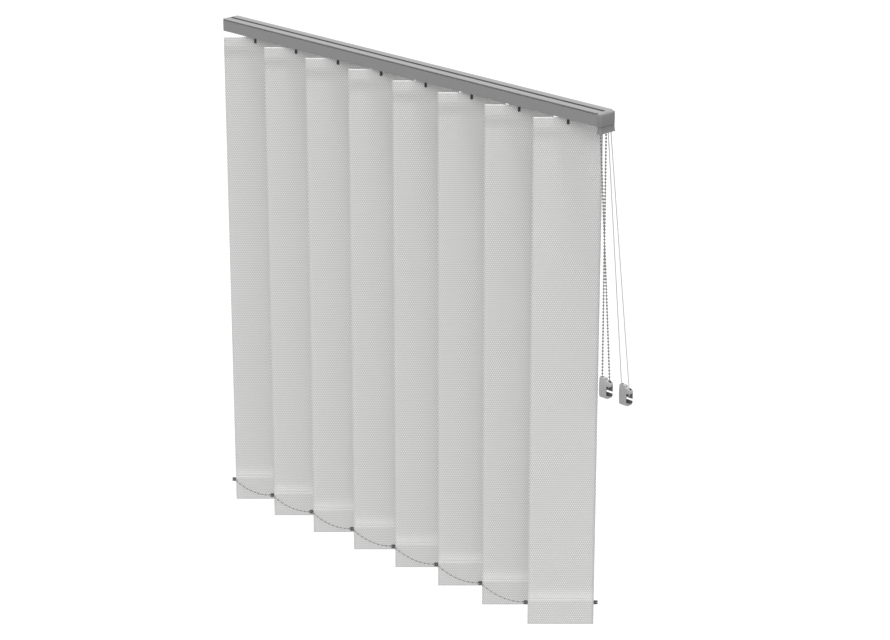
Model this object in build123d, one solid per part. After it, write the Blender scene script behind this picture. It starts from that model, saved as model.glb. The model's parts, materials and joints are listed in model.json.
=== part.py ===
from build123d import *
import math
import os

# A vertical blind: an aluminium headrail, eight turned fabric vanes hung on linked
# carriers, a bead chain that tilts them and a draw cord that traverses them.
# X runs along the rail towards the control end, -Y faces the room and Z is up.
# The origin is the middle of the rail's top face, which lies against the ceiling.
# All sizes are in millimetres and degrees.

# Row of vanes
VANE_COUNT = 8
VANE_PITCH = 122.4
VANE_WIDTH = 127.0
VANE_LENGTH = 1013.0
REST_ANGLE = 45.0
FIRST_INSET = 76.5
LAST_INSET = 97.0
STACK_PITCH = 24.0

# Headrail section
RAIL_DEPTH = 40.0
RAIL_HEIGHT = 25.0
RAIL_WALL = 1.4
TSLOT_MOUTH = 8.0
TSLOT_WIDTH = 12.4
TSLOT_DEPTH = 5.2
TSLOT_LIP = 1.0
HOOK_LIP = 1.0
HOOK_HEIGHT = 2.4
HOOK_DEPTH = 2.0
RUNWAY_SLOT = 18.0
RAIL_EDGE_RADIUS = 0.6

# End pieces
LEFT_FLANGE = 4.0
LEFT_CORNER = 1.6
LEFT_SPIGOT = 20.0
BEARING_HALF = 5.0
CONTROL_LENGTH = 10.0
CONTROL_CORNER = 4.0
CONTROL_WALL = 1.3
CHEEK_LENGTH = 15.0
CHEEK_WALL = 1.6
GUIDE_HEIGHT = 13.5
GUIDE_WALL = 1.0
GUIDE_NECK = 38.2
GUIDE_FLARE = 0.9
GUIDE_SPREAD = 1.3
GUIDE_CORNER = 1.2
GUIDE_THROAT = 5.8
GUIDE_ARCH = 1.6
GUIDE_CURVE = ((0, 0), (0.6, 0.3), (1, 1))
ARCH_FLATS = 6

# Tilt drive
ROD_Y = -7.5
ROD_Z = -12.5
ROD_ACROSS = 4.2
WORM_RADIUS = 3.3
PINION_RADIUS = 4.0
PINION_TEETH = 12
PINION_HEIGHT = 6.8
PINION_TOOTH = 0.9
SPROCKET_BEADS = 8
BEAD_RADIUS = 2.25
BEAD_PITCH = 6.35
BEAD_LINK_RADIUS = 0.7
BEAD_SIDES = 4
SPROCKET_FLANGE = 0.9
SPROCKET_NOTCH = 1.5
SPROCKET_TIP = (-0.35, 0.35)
SPROCKET_ROOT = (0.4, 0.6)
HUB_SIDES = 12
TURN_STEPS = 12

# Traverse drive
CORD_RADIUS = 0.9
CORD_GAP = 7.0
CORD_MIDDLE_Y = 9.75
CORD_RUN_Z = -9.0
CORD_WRAP = 5.0
CORD_SIDES = 6
CORD_TURN_STEPS = 5
CORD_TURN_TRIM = 0.02
LOOP_TURN_TRIM = 0.4
LOOP_LEAN = 2.8
TUBE_SEAM = (0.6, 0.8, 0)
PULLEY_WIDTH = 4.2
PULLEY_RIM = 1.2
GROOVE_FLAT = 0.6
PULLEY_SIDES = 14
AXLE_RADIUS = 1.5
AXLE_SIDES = 12
RETURN_PIN_RADIUS = 1.2
CLAMP_LENGTH = 4.0
CLAMP_WALL = 1.2

# Carrier, strap, stem and hanger
STACK_GAP = 1.0
CARRIER_FOOT = 2.3
CARRIER_BAY = 13.0
CARRIER_BACK = 2.2
CARRIER_FRONT = 1.8
CARRIER_CHAMFER = 3.0
TROUGH_WALL = 0.5
STRAP_WIDTH = 6.6
STRAP_THICKNESS = 0.38
STRAP_STEP = 0.55
STRAP_DROP = 1.0
STRAP_ROOT = 4.0
STRAP_OVERLAP = 4.0
STEM_RADIUS = 2.4
STEM_WIDTH = 4.8
STEM_BRIDGE = 2.0
LEG_THICKNESS = 1.05
FRONT_LEG = 13.0
BACK_LEG = 9.5
PEG_DROP = 7.5
PEG_HEIGHT = 3.0
PEG_WIDTH = 3.6
HOLE_SLACK = 0.7
VANE_GAP = 3.0
HANGER_INSET = 4.5
HANGER_HEIGHT = 20.0
HANGER_THICKNESS = 1.0

# Vane cloth, bottom weight and stabilising chains
CLOTH = 0.45
SEAM = 3.5
WEIGHT_INSET = 1.5
WEIGHT_THICKNESS = 1.8
LUG_RISE = 46.0
LUG_HEIGHT = 7.8
LUG_REACH = 8.4
LUG_THICKNESS = 3.0
LUG_SLOT = 2.8
RING_OUT = 4.75
RING_RADIUS = 2.1
RING_HOLE = 1.2
RING_THICKNESS = 1.6
LUG_PIN_RADIUS = 0.8
SPAN_SAG = 10.5
SPAN_BEADS = 10
SMALL_BEAD_RADIUS = 1.65
SMALL_LINK_RADIUS = 0.55
SMALL_BEAD_SIDES = 3

# Hook-on weights of the hanging loops
WEIGHT_LENGTH = 26.5
WEIGHT_HEIGHT = 39.5
WEIGHT_STEP = 5.0
WEIGHT_TALL_PART = 15.5
WEIGHT_MIDDLE = 9.6
WEIGHT_END = 7.4
WEIGHT_CORNER = 6.0
WEIGHT_FOOT_RADIUS = 9.0
WEIGHT_FLATS = 6
LOOP_SPACING = 18.8
LOOP_TURN_DROP = 12.5
LOOP_CHANNEL = 5.4
LOOP_FLATS = 16
HOOK_SLOT = 4.4
HOOK_SLOT_DROP = 26.0
CHAIN_WEIGHT_TOP = -505.5
CHAIN_SWING = 10.4
CORD_WEIGHT_TOP = -524.5
CORD_SWING = 28.6

# Screws
SCREW_RADIUS = 1.3
SCREW_HEAD_RADIUS = 2.6
SCREW_LENGTH = 8.0
SCREW_SLOT = 0.7
SCREW_SIDES = 8

# Clearances
FIT = 0.1
RUN = 0.2
LOOSE = 0.3

# Places that follow from the sizes above
LENGTH = FIRST_INSET + (VANE_COUNT - 1) * VANE_PITCH + LAST_INSET
X_LEFT = -LENGTH / 2
X_RIGHT = LENGTH / 2
RAIL_X0 = X_LEFT + LEFT_FLANGE
RAIL_X1 = X_RIGHT - CONTROL_LENGTH
HALF = RAIL_DEPTH / 2
FLOOR_TOP = RAIL_WALL - RAIL_HEIGHT
HOOK_BOTTOM = -HOOK_LIP - HOOK_HEIGHT
INNER_Y = HALF - RAIL_WALL
UPPER_Y = HALF - HOOK_DEPTH - RAIL_WALL
UPPER_Z = HOOK_BOTTOM - RAIL_WALL
TSLOT_UNDER = -TSLOT_DEPTH - RAIL_WALL
TSLOT_SIDE = TSLOT_WIDTH / 2 + RAIL_WALL
VANE_TOP = -RAIL_HEIGHT - VANE_GAP
VANE_BOTTOM = VANE_TOP - VANE_LENGTH
HANGER_WIDTH = VANE_WIDTH - 2 * HANGER_INSET
WEIGHT_WIDTH = VANE_WIDTH - 2 * WEIGHT_INSET
PITCH_RADIUS = SPROCKET_BEADS * BEAD_PITCH / (2 * math.pi)
STRAND_X = X_RIGHT - CONTROL_LENGTH / 2 - LOOSE
CORD_YS = (CORD_MIDDLE_Y - CORD_GAP / 2, CORD_MIDDLE_Y + CORD_GAP / 2)
PULLEY_X = STRAND_X - CORD_WRAP
PULLEY_Z = CORD_RUN_Z - CORD_WRAP
RETURN_X = X_LEFT + LEFT_FLANGE + LEFT_SPIGOT / 2
GUIDE_BOTTOM = -RAIL_HEIGHT - GUIDE_HEIGHT
CARRIER_LENGTH = STACK_PITCH - STACK_GAP
PARTITION = (ROD_Y + PITCH_RADIUS + BEAD_RADIUS + LOOSE, CORD_YS[0] - PULLEY_WIDTH / 2 - RUN)
POCKET_TOP = HANGER_THICKNESS / 2 + FIT
POCKET_BOTTOM = WEIGHT_THICKNESS / 2 + FIT
LEG_INNER = POCKET_TOP + CLOTH + LOOSE
LEG_OUTER = LEG_INNER + LEG_THICKNESS
PEG_Z = VANE_TOP - PEG_DROP
HOLE_TOP = PEG_Z + PEG_HEIGHT / 2 + FIT
LUG_Z = VANE_BOTTOM + LUG_RISE
WEIGHT_TOP = LUG_Z + LUG_HEIGHT / 2
RING_AT = VANE_WIDTH / 2 + RING_OUT


def vane_x(index):
    return X_LEFT + FIRST_INSET + index * VANE_PITCH


def block(x, y, z):
    """A box from three (low, high) pairs."""
    sizes = [high - low for low, high in (x, y, z)]
    middle = [(high + low) / 2 for low, high in (x, y, z)]
    return Pos(*middle) * Box(*sizes)


def bar_z(radius, x, y, z):
    return Pos(x, y, (z[0] + z[1]) / 2) * Cylinder(radius, z[1] - z[0])


def many_sided(radius, sides):
    """The corner radius of a regular outline whose flats lie at radius."""
    return radius / math.cos(math.pi / sides)


def run_x(points, x):
    """A closed (y, z) outline drawn out along X."""
    outline = Polyline(*[(x[0], y, z) for y, z in points], close=True)
    return extrude(make_face(outline), amount=x[1] - x[0], dir=(1, 0, 0))


def prism_x(radius, sides, x):
    """A many-sided bar on the tilt rod's line; its corners lie at radius."""
    points = []
    for step in range(sides):
        turn = 2 * math.pi * step / sides
        points.append((ROD_Y + radius * math.cos(turn), ROD_Z + radius * math.sin(turn)))
    return run_x(points, x)


def prism_z(radius, sides, z):
    """A many-sided bar on the stem's line; its corners lie at radius."""
    return Pos(0, 0, z[0]) * extrude(RegularPolygon(radius, sides), amount=z[1] - z[0])


def run_y(points, y):
    """A closed (x, z) outline drawn out along Y."""
    outline = Polyline(*[(px, y[0], pz) for px, pz in points], close=True)
    return extrude(make_face(outline), amount=y[1] - y[0], dir=(0, 1, 0))


def prism_y(radius, sides, y, x, z):
    """A many-sided bar along Y; its corners lie at radius."""
    turns = [2 * math.pi * (step + 0.5) / sides for step in range(sides)]
    return run_y([(x + radius * math.cos(t), z + radius * math.sin(t)) for t in turns], y)


def mirrored(points):
    """An outline of the +Y half, from the middle round to the middle, made whole."""
    return points + [(-y, z) for y, z in reversed(points) if y != 0]


def one(shape):
    solids = shape.solids()
    return solids[0] if len(solids) == 1 else Compound(children=list(solids))


# Headrail and end pieces

def outer_side():
    """The outside of the rail's +Y flank: top lip, bracket groove and wall."""
    return [
        (HALF, 0),
        (HALF, -HOOK_LIP),
        (HALF - HOOK_DEPTH, -HOOK_LIP),
        (HALF - HOOK_DEPTH, HOOK_BOTTOM),
        (HALF, HOOK_BOTTOM),
        (HALF, -RAIL_HEIGHT),
    ]


def rail_outline():
    half = [
        (0, -TSLOT_DEPTH),
        (TSLOT_WIDTH / 2, -TSLOT_DEPTH),
        (TSLOT_WIDTH / 2, -TSLOT_LIP),
        (TSLOT_MOUTH / 2, -TSLOT_LIP),
        (TSLOT_MOUTH / 2, 0),
    ]
    half += outer_side()
    half += [
        (RUNWAY_SLOT / 2, -RAIL_HEIGHT),
        (RUNWAY_SLOT / 2, FLOOR_TOP),
        (INNER_Y, FLOOR_TOP),
        (INNER_Y, UPPER_Z),
        (UPPER_Y, UPPER_Z),
        (UPPER_Y, -RAIL_WALL),
        (TSLOT_SIDE, -RAIL_WALL),
        (TSLOT_SIDE, TSLOT_UNDER),
        (0, TSLOT_UNDER),
    ]
    return mirrored(half)


def round_long_edges(solid, radius):
    """Rounds the long outer edges of the flanks, below the groove and at the foot."""
    picked = [
        edge
        for edge in solid.edges().filter_by(Axis.X)
        if abs(abs(edge.center().Y) - HALF) < 0.01
        and min(abs(edge.center().Z - z) for z in (HOOK_BOTTOM, -RAIL_HEIGHT)) < 0.01
    ]
    return fillet(picked, radius)


def screw_places():
    left = (RAIL_X0 + LEFT_SPIGOT * 0.6, -(RUNWAY_SLOT / 2 + INNER_Y) / 2)
    right = (RAIL_X1 - CHEEK_LENGTH / 2, -(RUNWAY_SLOT / 2 + INNER_Y) / 2)
    return (left, right)


def screw_bore(place):
    """The blind hole in an end piece that its screw goes up into."""
    radius = many_sided(SCREW_RADIUS + FIT, SCREW_SIDES)
    height = (-RAIL_HEIGHT, -RAIL_HEIGHT + SCREW_LENGTH + LOOSE)
    return Pos(*place, 0) * prism_z(radius, SCREW_SIDES, height)


def headrail():
    rail = run_x(rail_outline(), (RAIL_X0, RAIL_X1))
    rail = round_long_edges(rail, RAIL_EDGE_RADIUS)
    for x, y in screw_places():
        sink = many_sided(SCREW_HEAD_RADIUS + FIT, SCREW_SIDES)
        rail -= Pos(x, y, 0) * prism_z(sink, SCREW_SIDES, (-RAIL_HEIGHT - 1, FLOOR_TOP + 1))
    return rail


def cap_blank(x, corner, outward):
    """The rail's outer section as a solid slice, its outer corners rounded, or cut on the left."""
    slice_ = run_x(mirrored([(0, 0)] + outer_side() + [(0, -RAIL_HEIGHT)]), x)
    plan = block(x, (-HALF, HALF), (-RAIL_HEIGHT - 1, 1))
    face_x = x[1] if outward > 0 else x[0]
    corners = [e for e in plan.edges().filter_by(Axis.Z) if abs(e.center().X - face_x) < 0.01]
    return slice_ & (fillet(corners, corner) if outward > 0 else chamfer(corners, corner))


def left_end_cap():
    cap = cap_blank((X_LEFT, RAIL_X0), LEFT_CORNER, -1)
    x = (RAIL_X0, RAIL_X0 + LEFT_SPIGOT)
    shelf_top = ROD_Z - WORM_RADIUS
    cap += block(x, (-INNER_Y + RUN, INNER_Y - RUN), (FLOOR_TOP + RUN, shelf_top))
    bearing = (RAIL_X0, RAIL_X0 + LEFT_SPIGOT / 2 - LOOSE)
    bearing_top = TSLOT_UNDER - RUN
    bearing_y = (ROD_Y - BEARING_HALF, ROD_Y + BEARING_HALF)
    cap += block(bearing, bearing_y, (shelf_top, bearing_top))
    cap -= prism_x(many_sided(rod_corner() + FIT, 8), 8, (X_LEFT + LEFT_FLANGE / 2, x[1] + 1))
    low = CORD_RUN_Z - PULLEY_WIDTH / 2
    cap += Pos(RETURN_X, CORD_MIDDLE_Y, 0) * prism_z(RETURN_PIN_RADIUS + 1, 8, (shelf_top, low - RUN))
    cap += bar_z(RETURN_PIN_RADIUS, RETURN_X, CORD_MIDDLE_Y, (shelf_top, low + PULLEY_WIDTH))
    return cap - screw_bore(screw_places()[0])


def rod_corner():
    """The radius that the hexagonal rod's corners reach."""
    return ROD_ACROSS / math.sqrt(3)


def guide_opening(grow):
    """Half width in X, and Y ends, of the way down for the chain and the cords."""
    return GUIDE_THROAT / 2 + grow, GUIDE_NECK / 2 - GUIDE_WALL + grow


def control_housing():
    housing = cap_blank((RAIL_X1, X_RIGHT), CONTROL_CORNER, 1)
    inside = (RAIL_X1 - 1, X_RIGHT - CONTROL_WALL)
    housing -= block(inside, (-INNER_Y, INNER_Y), (FLOOR_TOP, UPPER_Z))
    housing -= block(inside, (-UPPER_Y, UPPER_Y), (UPPER_Z - 1, -RAIL_WALL))
    half_x, half_y = guide_opening(0)
    throat_x = (STRAND_X - half_x, STRAND_X + half_x)
    housing -= block(throat_x, (-half_y, half_y), (-RAIL_HEIGHT - 1, FLOOR_TOP + 1))
    cheek = (RAIL_X1 - CHEEK_LENGTH, RAIL_X1)
    cheek_z = (FLOOR_TOP + RUN, UPPER_Z - RUN)
    front_y = (-INNER_Y + RUN, -INNER_Y + RUN + CHEEK_WALL)
    back_y = (CORD_YS[1] + PULLEY_WIDTH / 2 + RUN, INNER_Y - RUN)
    housing += block((cheek[0], sprocket_span()[0] - LOOSE), front_y, cheek_z)
    housing += block((RAIL_X1, sprocket_span()[0] - LOOSE), (-INNER_Y - FIT, front_y[1]), cheek_z)
    housing += block((cheek[0], RAIL_X1 + CONTROL_LENGTH / 2), back_y, cheek_z)
    housing += block((RAIL_X1, RAIL_X1 + CONTROL_LENGTH / 2), (back_y[0], INNER_Y + FIT), cheek_z)
    foot_y = (front_y[0], -RUNWAY_SLOT / 2)
    housing += block(cheek, foot_y, (FLOOR_TOP + RUN, -RAIL_HEIGHT + SCREW_LENGTH + CHEEK_WALL))
    partition_x = (PULLEY_X - CORD_WRAP, X_RIGHT - CONTROL_WALL)
    housing += block(partition_x, PARTITION, (FLOOR_TOP, TSLOT_UNDER - RUN))
    bore_y = (PARTITION[0] - 1, INNER_Y - RUN - 1)
    housing -= prism_y(many_sided(AXLE_RADIUS + FIT / 2, AXLE_SIDES), AXLE_SIDES, bore_y, PULLEY_X, PULLEY_Z)
    return housing - screw_bore(screw_places()[1])


def guide_shell(shrink):
    """The flared skirt as one loft, its sides curving out towards the bottom."""
    sections = []
    for share, spread in GUIDE_CURVE:
        z = -RAIL_HEIGHT - share * GUIDE_HEIGHT
        width = GUIDE_THROAT + 2 * GUIDE_WALL + 2 * GUIDE_SPREAD * spread - 2 * shrink
        depth = GUIDE_NECK + 2 * GUIDE_FLARE * spread - 2 * shrink
        plain = Rectangle(width, depth)
        sections.append(Pos(STRAND_X, 0, z) * chamfer(plain.vertices(), GUIDE_CORNER))
    return loft(sections, ruled=True)


def cord_guide():
    """The skirt with its wall, and its lower edge cut up into a shallow arch."""
    guide = guide_shell(0) - guide_shell(GUIDE_WALL)
    arch = [(-GUIDE_NECK / 2, GUIDE_BOTTOM - 1), (GUIDE_NECK / 2, GUIDE_BOTTOM - 1)]
    for step in range(ARCH_FLATS + 1):
        across = 1 - 2 * step / ARCH_FLATS
        arch.append((across * GUIDE_NECK / 2, GUIDE_BOTTOM + GUIDE_ARCH * (1 - across ** 2)))
    return guide - run_x(arch, (RAIL_X1 - GUIDE_SPREAD, X_RIGHT + GUIDE_SPREAD))


def end_cap_screws():
    screws = []
    for x, y in screw_places():
        screw = prism_z(SCREW_HEAD_RADIUS, SCREW_SIDES, (0, RAIL_WALL))
        screw += prism_z(SCREW_RADIUS, SCREW_SIDES, (0, SCREW_LENGTH))
        screw -= block((-SCREW_RADIUS, SCREW_RADIUS), (-SCREW_SLOT / 2, SCREW_SLOT / 2), (-1, RAIL_WALL / 2))
        screws.append((Pos(x, y, -RAIL_HEIGHT) * screw).solid())
    return Compound(children=screws)


# Tilt drive

def tilt_rod():
    return prism_x(rod_corner(), 6, (X_LEFT + LEFT_FLANGE / 2 + LOOSE, sprocket_span()[1]))


def sprocket_span():
    half = BEAD_RADIUS + RUN + SPROCKET_FLANGE
    return (STRAND_X - half, STRAND_X + half)


def chain_sprocket():
    """A bead wheel: two notched flanges and a groove between them that clears the beads."""
    x = sprocket_span()
    hub = PITCH_RADIUS - BEAD_RADIUS - LOOSE
    rim = PITCH_RADIUS + BEAD_RADIUS / 2
    edge = toothed(SPROCKET_BEADS, rim, rim - SPROCKET_NOTCH, SPROCKET_TIP, SPROCKET_ROOT)
    edge = [(ROD_Y + y, ROD_Z + z) for y, z in edge]
    wheel = prism_x(hub, HUB_SIDES, x)
    wheel += run_x(edge, (x[0], x[0] + SPROCKET_FLANGE))
    wheel += run_x(edge, (x[1] - SPROCKET_FLANGE, x[1]))
    return wheel - prism_x(rod_corner() + FIT, 6, (x[0] - 1, x[1] + 1))


def toothed(teeth, tip, root, tip_shares, root_shares):
    """A closed outline of teeth: where tip and root lie, as shares of one tooth's turn."""
    points = []
    for tooth in range(teeth):
        for shares, radius in ((tip_shares, tip), (root_shares, root)):
            for share in shares:
                turn = 2 * math.pi * (tooth + share) / teeth
                points.append((radius * math.cos(turn), radius * math.sin(turn)))
    return points


# Traverse drive

def pulley(bore, wrap):
    """A grooved wheel on the Z axis, with PULLEY_SIDES flats and a round bore."""
    rim = wrap + PULLEY_RIM
    root = wrap - CORD_RADIUS - FIT
    half = PULLEY_WIDTH / 2
    flat = CORD_RADIUS * GROOVE_FLAT
    heights = [-half, -flat, flat, half]
    wheel = tube([Vector(0, 0, z) for z in heights], [rim, root, root, rim], PULLEY_SIDES)
    return wheel - bar_z(bore + RUN / 2, 0, 0, (-half - 1, half + 1))


def return_pulley():
    return Pos(RETURN_X, CORD_MIDDLE_Y, CORD_RUN_Z) * pulley(RETURN_PIN_RADIUS, CORD_GAP / 2)


def cord_pulley(y):
    return Pos(PULLEY_X, y, PULLEY_Z) * Rot(90, 0, 0) * pulley(AXLE_RADIUS, CORD_WRAP)


def pulley_axle():
    return prism_y(AXLE_RADIUS, AXLE_SIDES, (PARTITION[0], INNER_Y - RUN - 1), PULLEY_X, PULLEY_Z)


def draw_cord_run():
    """The cord inside the rail: over the two pulleys and round the far one."""
    turn = CORD_GAP / 2 - CORD_TURN_TRIM
    left = RETURN_X - CORD_GAP / 2
    front, back = CORD_YS
    points = [
        (STRAND_X, front, -RAIL_HEIGHT),
        (STRAND_X, front, CORD_RUN_Z),
        (left, front, CORD_RUN_Z),
        (left, back, CORD_RUN_Z),
        (STRAND_X, back, CORD_RUN_Z),
        (STRAND_X, back, -RAIL_HEIGHT),
    ]
    radii = [CORD_WRAP, turn, turn, CORD_WRAP]
    print("draw_cord_run radii", radii)
    return cord(points, radii)


def cord(points, radii):
    """A round cord as a six-sided closed shell along a path with rounded corners."""
    path = FilletPolyline(*points, radius=radii)
    line = []
    for edge in path.edges():
        steps = 1 if edge.geom_type == GeomType.LINE else CORD_TURN_STEPS
        line += [edge @ (step / steps) for step in range(steps)]
    line.append(path @ 1)
    return tube(line, [CORD_RADIUS] * len(line), CORD_SIDES)


def loop_middle(top_y, swing):
    """Where a loop's weight hangs: the loops stand a little out of plumb."""
    return STRAND_X + swing, top_y + swing


def draw_cord_loop():
    x, y = loop_middle(CORD_MIDDLE_Y, CORD_SWING)
    half = LOOP_SPACING / 2
    low = CORD_WEIGHT_TOP - LOOP_TURN_DROP - half
    front, back = CORD_YS
    points = [
        (STRAND_X, front, -RAIL_HEIGHT),
        (STRAND_X, front, GUIDE_BOTTOM),
        (x - half, y, low),
        (x + half, y, low),
        (STRAND_X, back, GUIDE_BOTTOM),
        (STRAND_X, back, -RAIL_HEIGHT),
    ]
    lean = 0.45 * GUIDE_HEIGHT / math.tan(math.radians(LOOP_LEAN))
    turn = half - LOOP_TURN_TRIM
    radii = [lean, turn, turn, lean]
    print("draw_cord_loop radii", radii)
    return cord(points, radii)


# Bead chains

def along(points):
    """Running lengths of a list of points."""
    lengths = [0.0]
    for a, b in zip(points, points[1:]):
        lengths.append(lengths[-1] + (b - a).length)
    return lengths


def point_at(points, lengths, distance):
    for index in range(1, len(points)):
        if distance <= lengths[index] or index == len(points) - 1:
            share = (distance - lengths[index - 1]) / (lengths[index] - lengths[index - 1])
            return points[index - 1] + (points[index] - points[index - 1]) * share


def tube(middles, radii, sides):
    """A closed shell of flat triangles round a line of middles, with a radius at each."""
    side = Vector(*TUBE_SEAM)
    rings = []
    last = len(middles) - 1
    for index, middle in enumerate(middles):
        run = (middles[min(index + 1, last)] - middles[max(index - 1, 0)]).normalized()
        side = (side - run * side.dot(run)).normalized()
        other = run.cross(side)
        corners = []
        for step in range(sides):
            turn = 2 * math.pi * step / sides
            corners.append(middle + (side * math.cos(turn) + other * math.sin(turn)) * radii[index])
        rings.append(corners)
    flats = [rings[0], rings[-1]]
    for near, far in zip(rings, rings[1:]):
        for index in range(sides):
            after = (index + 1) % sides
            flats.append([near[index], near[after], far[after]])
            flats.append([near[index], far[after], far[index]])
    return Solid(Shell([Face(Wire.make_polygon(flat)) for flat in flats]))


def beaded(points, stations, sides):
    """A string of beads along points, from (distance, radius) stations."""
    lengths = along(points)
    middles = [point_at(points, lengths, distance) for distance, _ in stations]
    return tube(middles, [radius for _, radius in stations], sides)


def chain_line():
    """The tilt chain's middle line: up one strand, over the sprocket and down the other."""
    x, y = loop_middle(ROD_Y, CHAIN_SWING)
    z = CHAIN_WEIGHT_TOP - LOOP_TURN_DROP
    half = LOOP_SPACING / 2
    line = []
    quarter = [math.radians(90 * step / TURN_STEPS) for step in range(TURN_STEPS + 1)]
    for turn in quarter:
        line.append(Vector(x + half * math.sin(turn), y, z - half * math.cos(turn)))
    for step in range(2 * TURN_STEPS + 1):
        turn = math.radians(90 * step / TURN_STEPS)
        over = (ROD_Y - PITCH_RADIUS * math.cos(turn), ROD_Z + PITCH_RADIUS * math.sin(turn))
        line.append(Vector(STRAND_X, *over))
    for turn in reversed(quarter):
        line.append(Vector(x - half * math.sin(turn), y, z - half * math.cos(turn)))
    return line


def ball_chain():
    line = chain_line()
    total = along(line)[-1]
    count = round(total / BEAD_PITCH)
    pitch = total / count
    stations = [(FIT / 2, BEAD_LINK_RADIUS)]
    for index in range(count):
        stations.append(((index + 0.5) * pitch, BEAD_RADIUS))
        stations.append((min((index + 1) * pitch, total - FIT / 2), BEAD_LINK_RADIUS))
    print("ball_chain beads", count)
    return beaded(line, stations, BEAD_SIDES)


def hook_on_weight(x, y, top):
    """A shell that hooks on a loop: a channel round a boss over a solid foot."""
    half = WEIGHT_LENGTH / 2
    step_x = -half + WEIGHT_TALL_PART
    low = -WEIGHT_HEIGHT
    outline = run_y(
        [
            (-half, 0),
            (step_x, 0),
            (step_x, -WEIGHT_STEP),
            (half, -WEIGHT_STEP),
            (half, low),
            (-half, low),
        ],
        (-WEIGHT_MIDDLE, WEIGHT_MIDDLE),
    )

    def upright(px, pz):
        return [e for e in outline.edges().filter_by(Axis.Y)
                if abs(e.center().X - px) < 0.01 and abs(e.center().Z - pz) < 0.01]

    outline = fillet(upright(half, -WEIGHT_STEP), WEIGHT_CORNER)
    outline = fillet(upright(half, low), WEIGHT_FOOT_RADIUS)
    outline = fillet(upright(-half, low), WEIGHT_FOOT_RADIUS / 4)
    swell = WEIGHT_MIDDLE - WEIGHT_END
    shares = [step / WEIGHT_FLATS for step in range(WEIGHT_FLATS + 1)]
    barrel = [((WEIGHT_END + swell * 4 * s * (1 - s)) / 2, low * s) for s in shares]
    barrel += [(-y, z) for y, z in reversed(barrel)]
    body = outline & run_x(barrel, (-half, half))
    reach = LOOP_SPACING / 2 + LOOP_CHANNEL / 2
    channel_y = (-LOOP_CHANNEL / 2, LOOP_CHANNEL / 2)
    turn_z = -LOOP_TURN_DROP
    channel = block((-reach, reach), channel_y, (turn_z, 1))
    channel += prism_y(many_sided(reach, LOOP_FLATS), LOOP_FLATS, channel_y, 0, turn_z)
    channel -= prism_y(LOOP_SPACING / 2 - LOOP_CHANNEL / 2, LOOP_FLATS, channel_y, 0, turn_z)
    body -= channel
    window_z = (-HOOK_SLOT_DROP - WEIGHT_FOOT_RADIUS, turn_z)
    body -= block((step_x + 1, half - 1), (-WEIGHT_MIDDLE, channel_y[0]), window_z)
    body -= block((step_x + 2, half - 1), (-WEIGHT_MIDDLE, channel_y[1] - 1), (window_z[0], turn_z - reach))
    body -= block(
        (step_x + 2, half + 1), (-WEIGHT_MIDDLE, WEIGHT_MIDDLE),
        (-HOOK_SLOT_DROP - HOOK_SLOT / 2, -HOOK_SLOT_DROP + HOOK_SLOT / 2),
    )
    return Pos(x, y, top) * body


# Carriers

def strap_level(index):
    """The height of a carrier's link strap: each one passes over those before it."""
    return UPPER_Z - STRAP_DROP + (index - 1) * STRAP_STEP


def carrier(index):
    """A carrier with glide feet, worm, strap guide, and its link strap to the one before."""
    x = (-CARRIER_LENGTH / 2, CARRIER_LENGTH / 2)
    foot_y = INNER_Y - 5 * RUN
    foot_z = (FLOOR_TOP + FIT, FLOOR_TOP + FIT + CARRIER_FOOT)
    top = TSLOT_UNDER - 2 * RUN
    back = CORD_YS[1] + CORD_RADIUS + CARRIER_BACK
    front = ROD_Y - WORM_RADIUS - CARRIER_FRONT
    guide_back = -TSLOT_SIDE - 2 * RUN
    trough_back = guide_back - TROUGH_WALL
    trough_front = trough_back - STRAP_WIDTH - 4 * RUN
    guide_front = trough_front - TROUGH_WALL
    guide_floor = strap_level(1) - RUN
    guide_top = -RAIL_WALL - LOOSE
    body = run_x(
        [
            (-foot_y, foot_z[0]), (foot_y, foot_z[0]), (foot_y, foot_z[1]), (back, foot_z[1]),
            (back, top), (guide_back, top), (guide_back, guide_top), (trough_back, guide_top),
            (trough_back, guide_floor), (trough_front, guide_floor),
            (trough_front, guide_top), (guide_front, guide_top), (guide_front, top),
            (front, top - CARRIER_CHAMFER), (front, foot_z[1]), (-foot_y, foot_z[1]),
        ],
        x,
    )
    bay_z = (ROD_Z - WORM_RADIUS - RUN, ROD_Z + WORM_RADIUS + RUN)
    bay_x = (-CARRIER_BAY / 2, CARRIER_BAY / 2)
    body -= block(bay_x, (front - 1, -PINION_RADIUS), bay_z)
    body += prism_x(WORM_RADIUS, 8, bay_x)
    body -= prism_x(many_sided(rod_corner() + RUN, 8), 8, (x[0] - 1, x[1] + 1))
    body -= prism_z(many_sided(PINION_RADIUS + RUN, 6), 6, (pinion_low() - FIT, top + 1))
    body -= prism_z(many_sided(STEM_RADIUS + RUN, 6), 6, (foot_z[0] - 1, pinion_low()))
    slack = CORD_RADIUS + 2 * RUN
    way_y = (CORD_YS[0] - slack, CORD_YS[1] + slack)
    body -= block((x[0] - 1, x[1] + 1), way_y, (CORD_RUN_Z - slack, CORD_RUN_Z + slack))
    if index > 0:
        strap_y = (trough_front + 2 * RUN, trough_back - 2 * RUN)
        level = strap_level(index)
        body += block((x[1] - STRAP_ROOT, x[1]), strap_y, (guide_floor, level + STRAP_THICKNESS))
        reach = -VANE_PITCH - STRAP_OVERLAP
        body += block((reach, x[1]), strap_y, (level, level + STRAP_THICKNESS))
    return Pos(vane_x(index), 0, 0) * body


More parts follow.
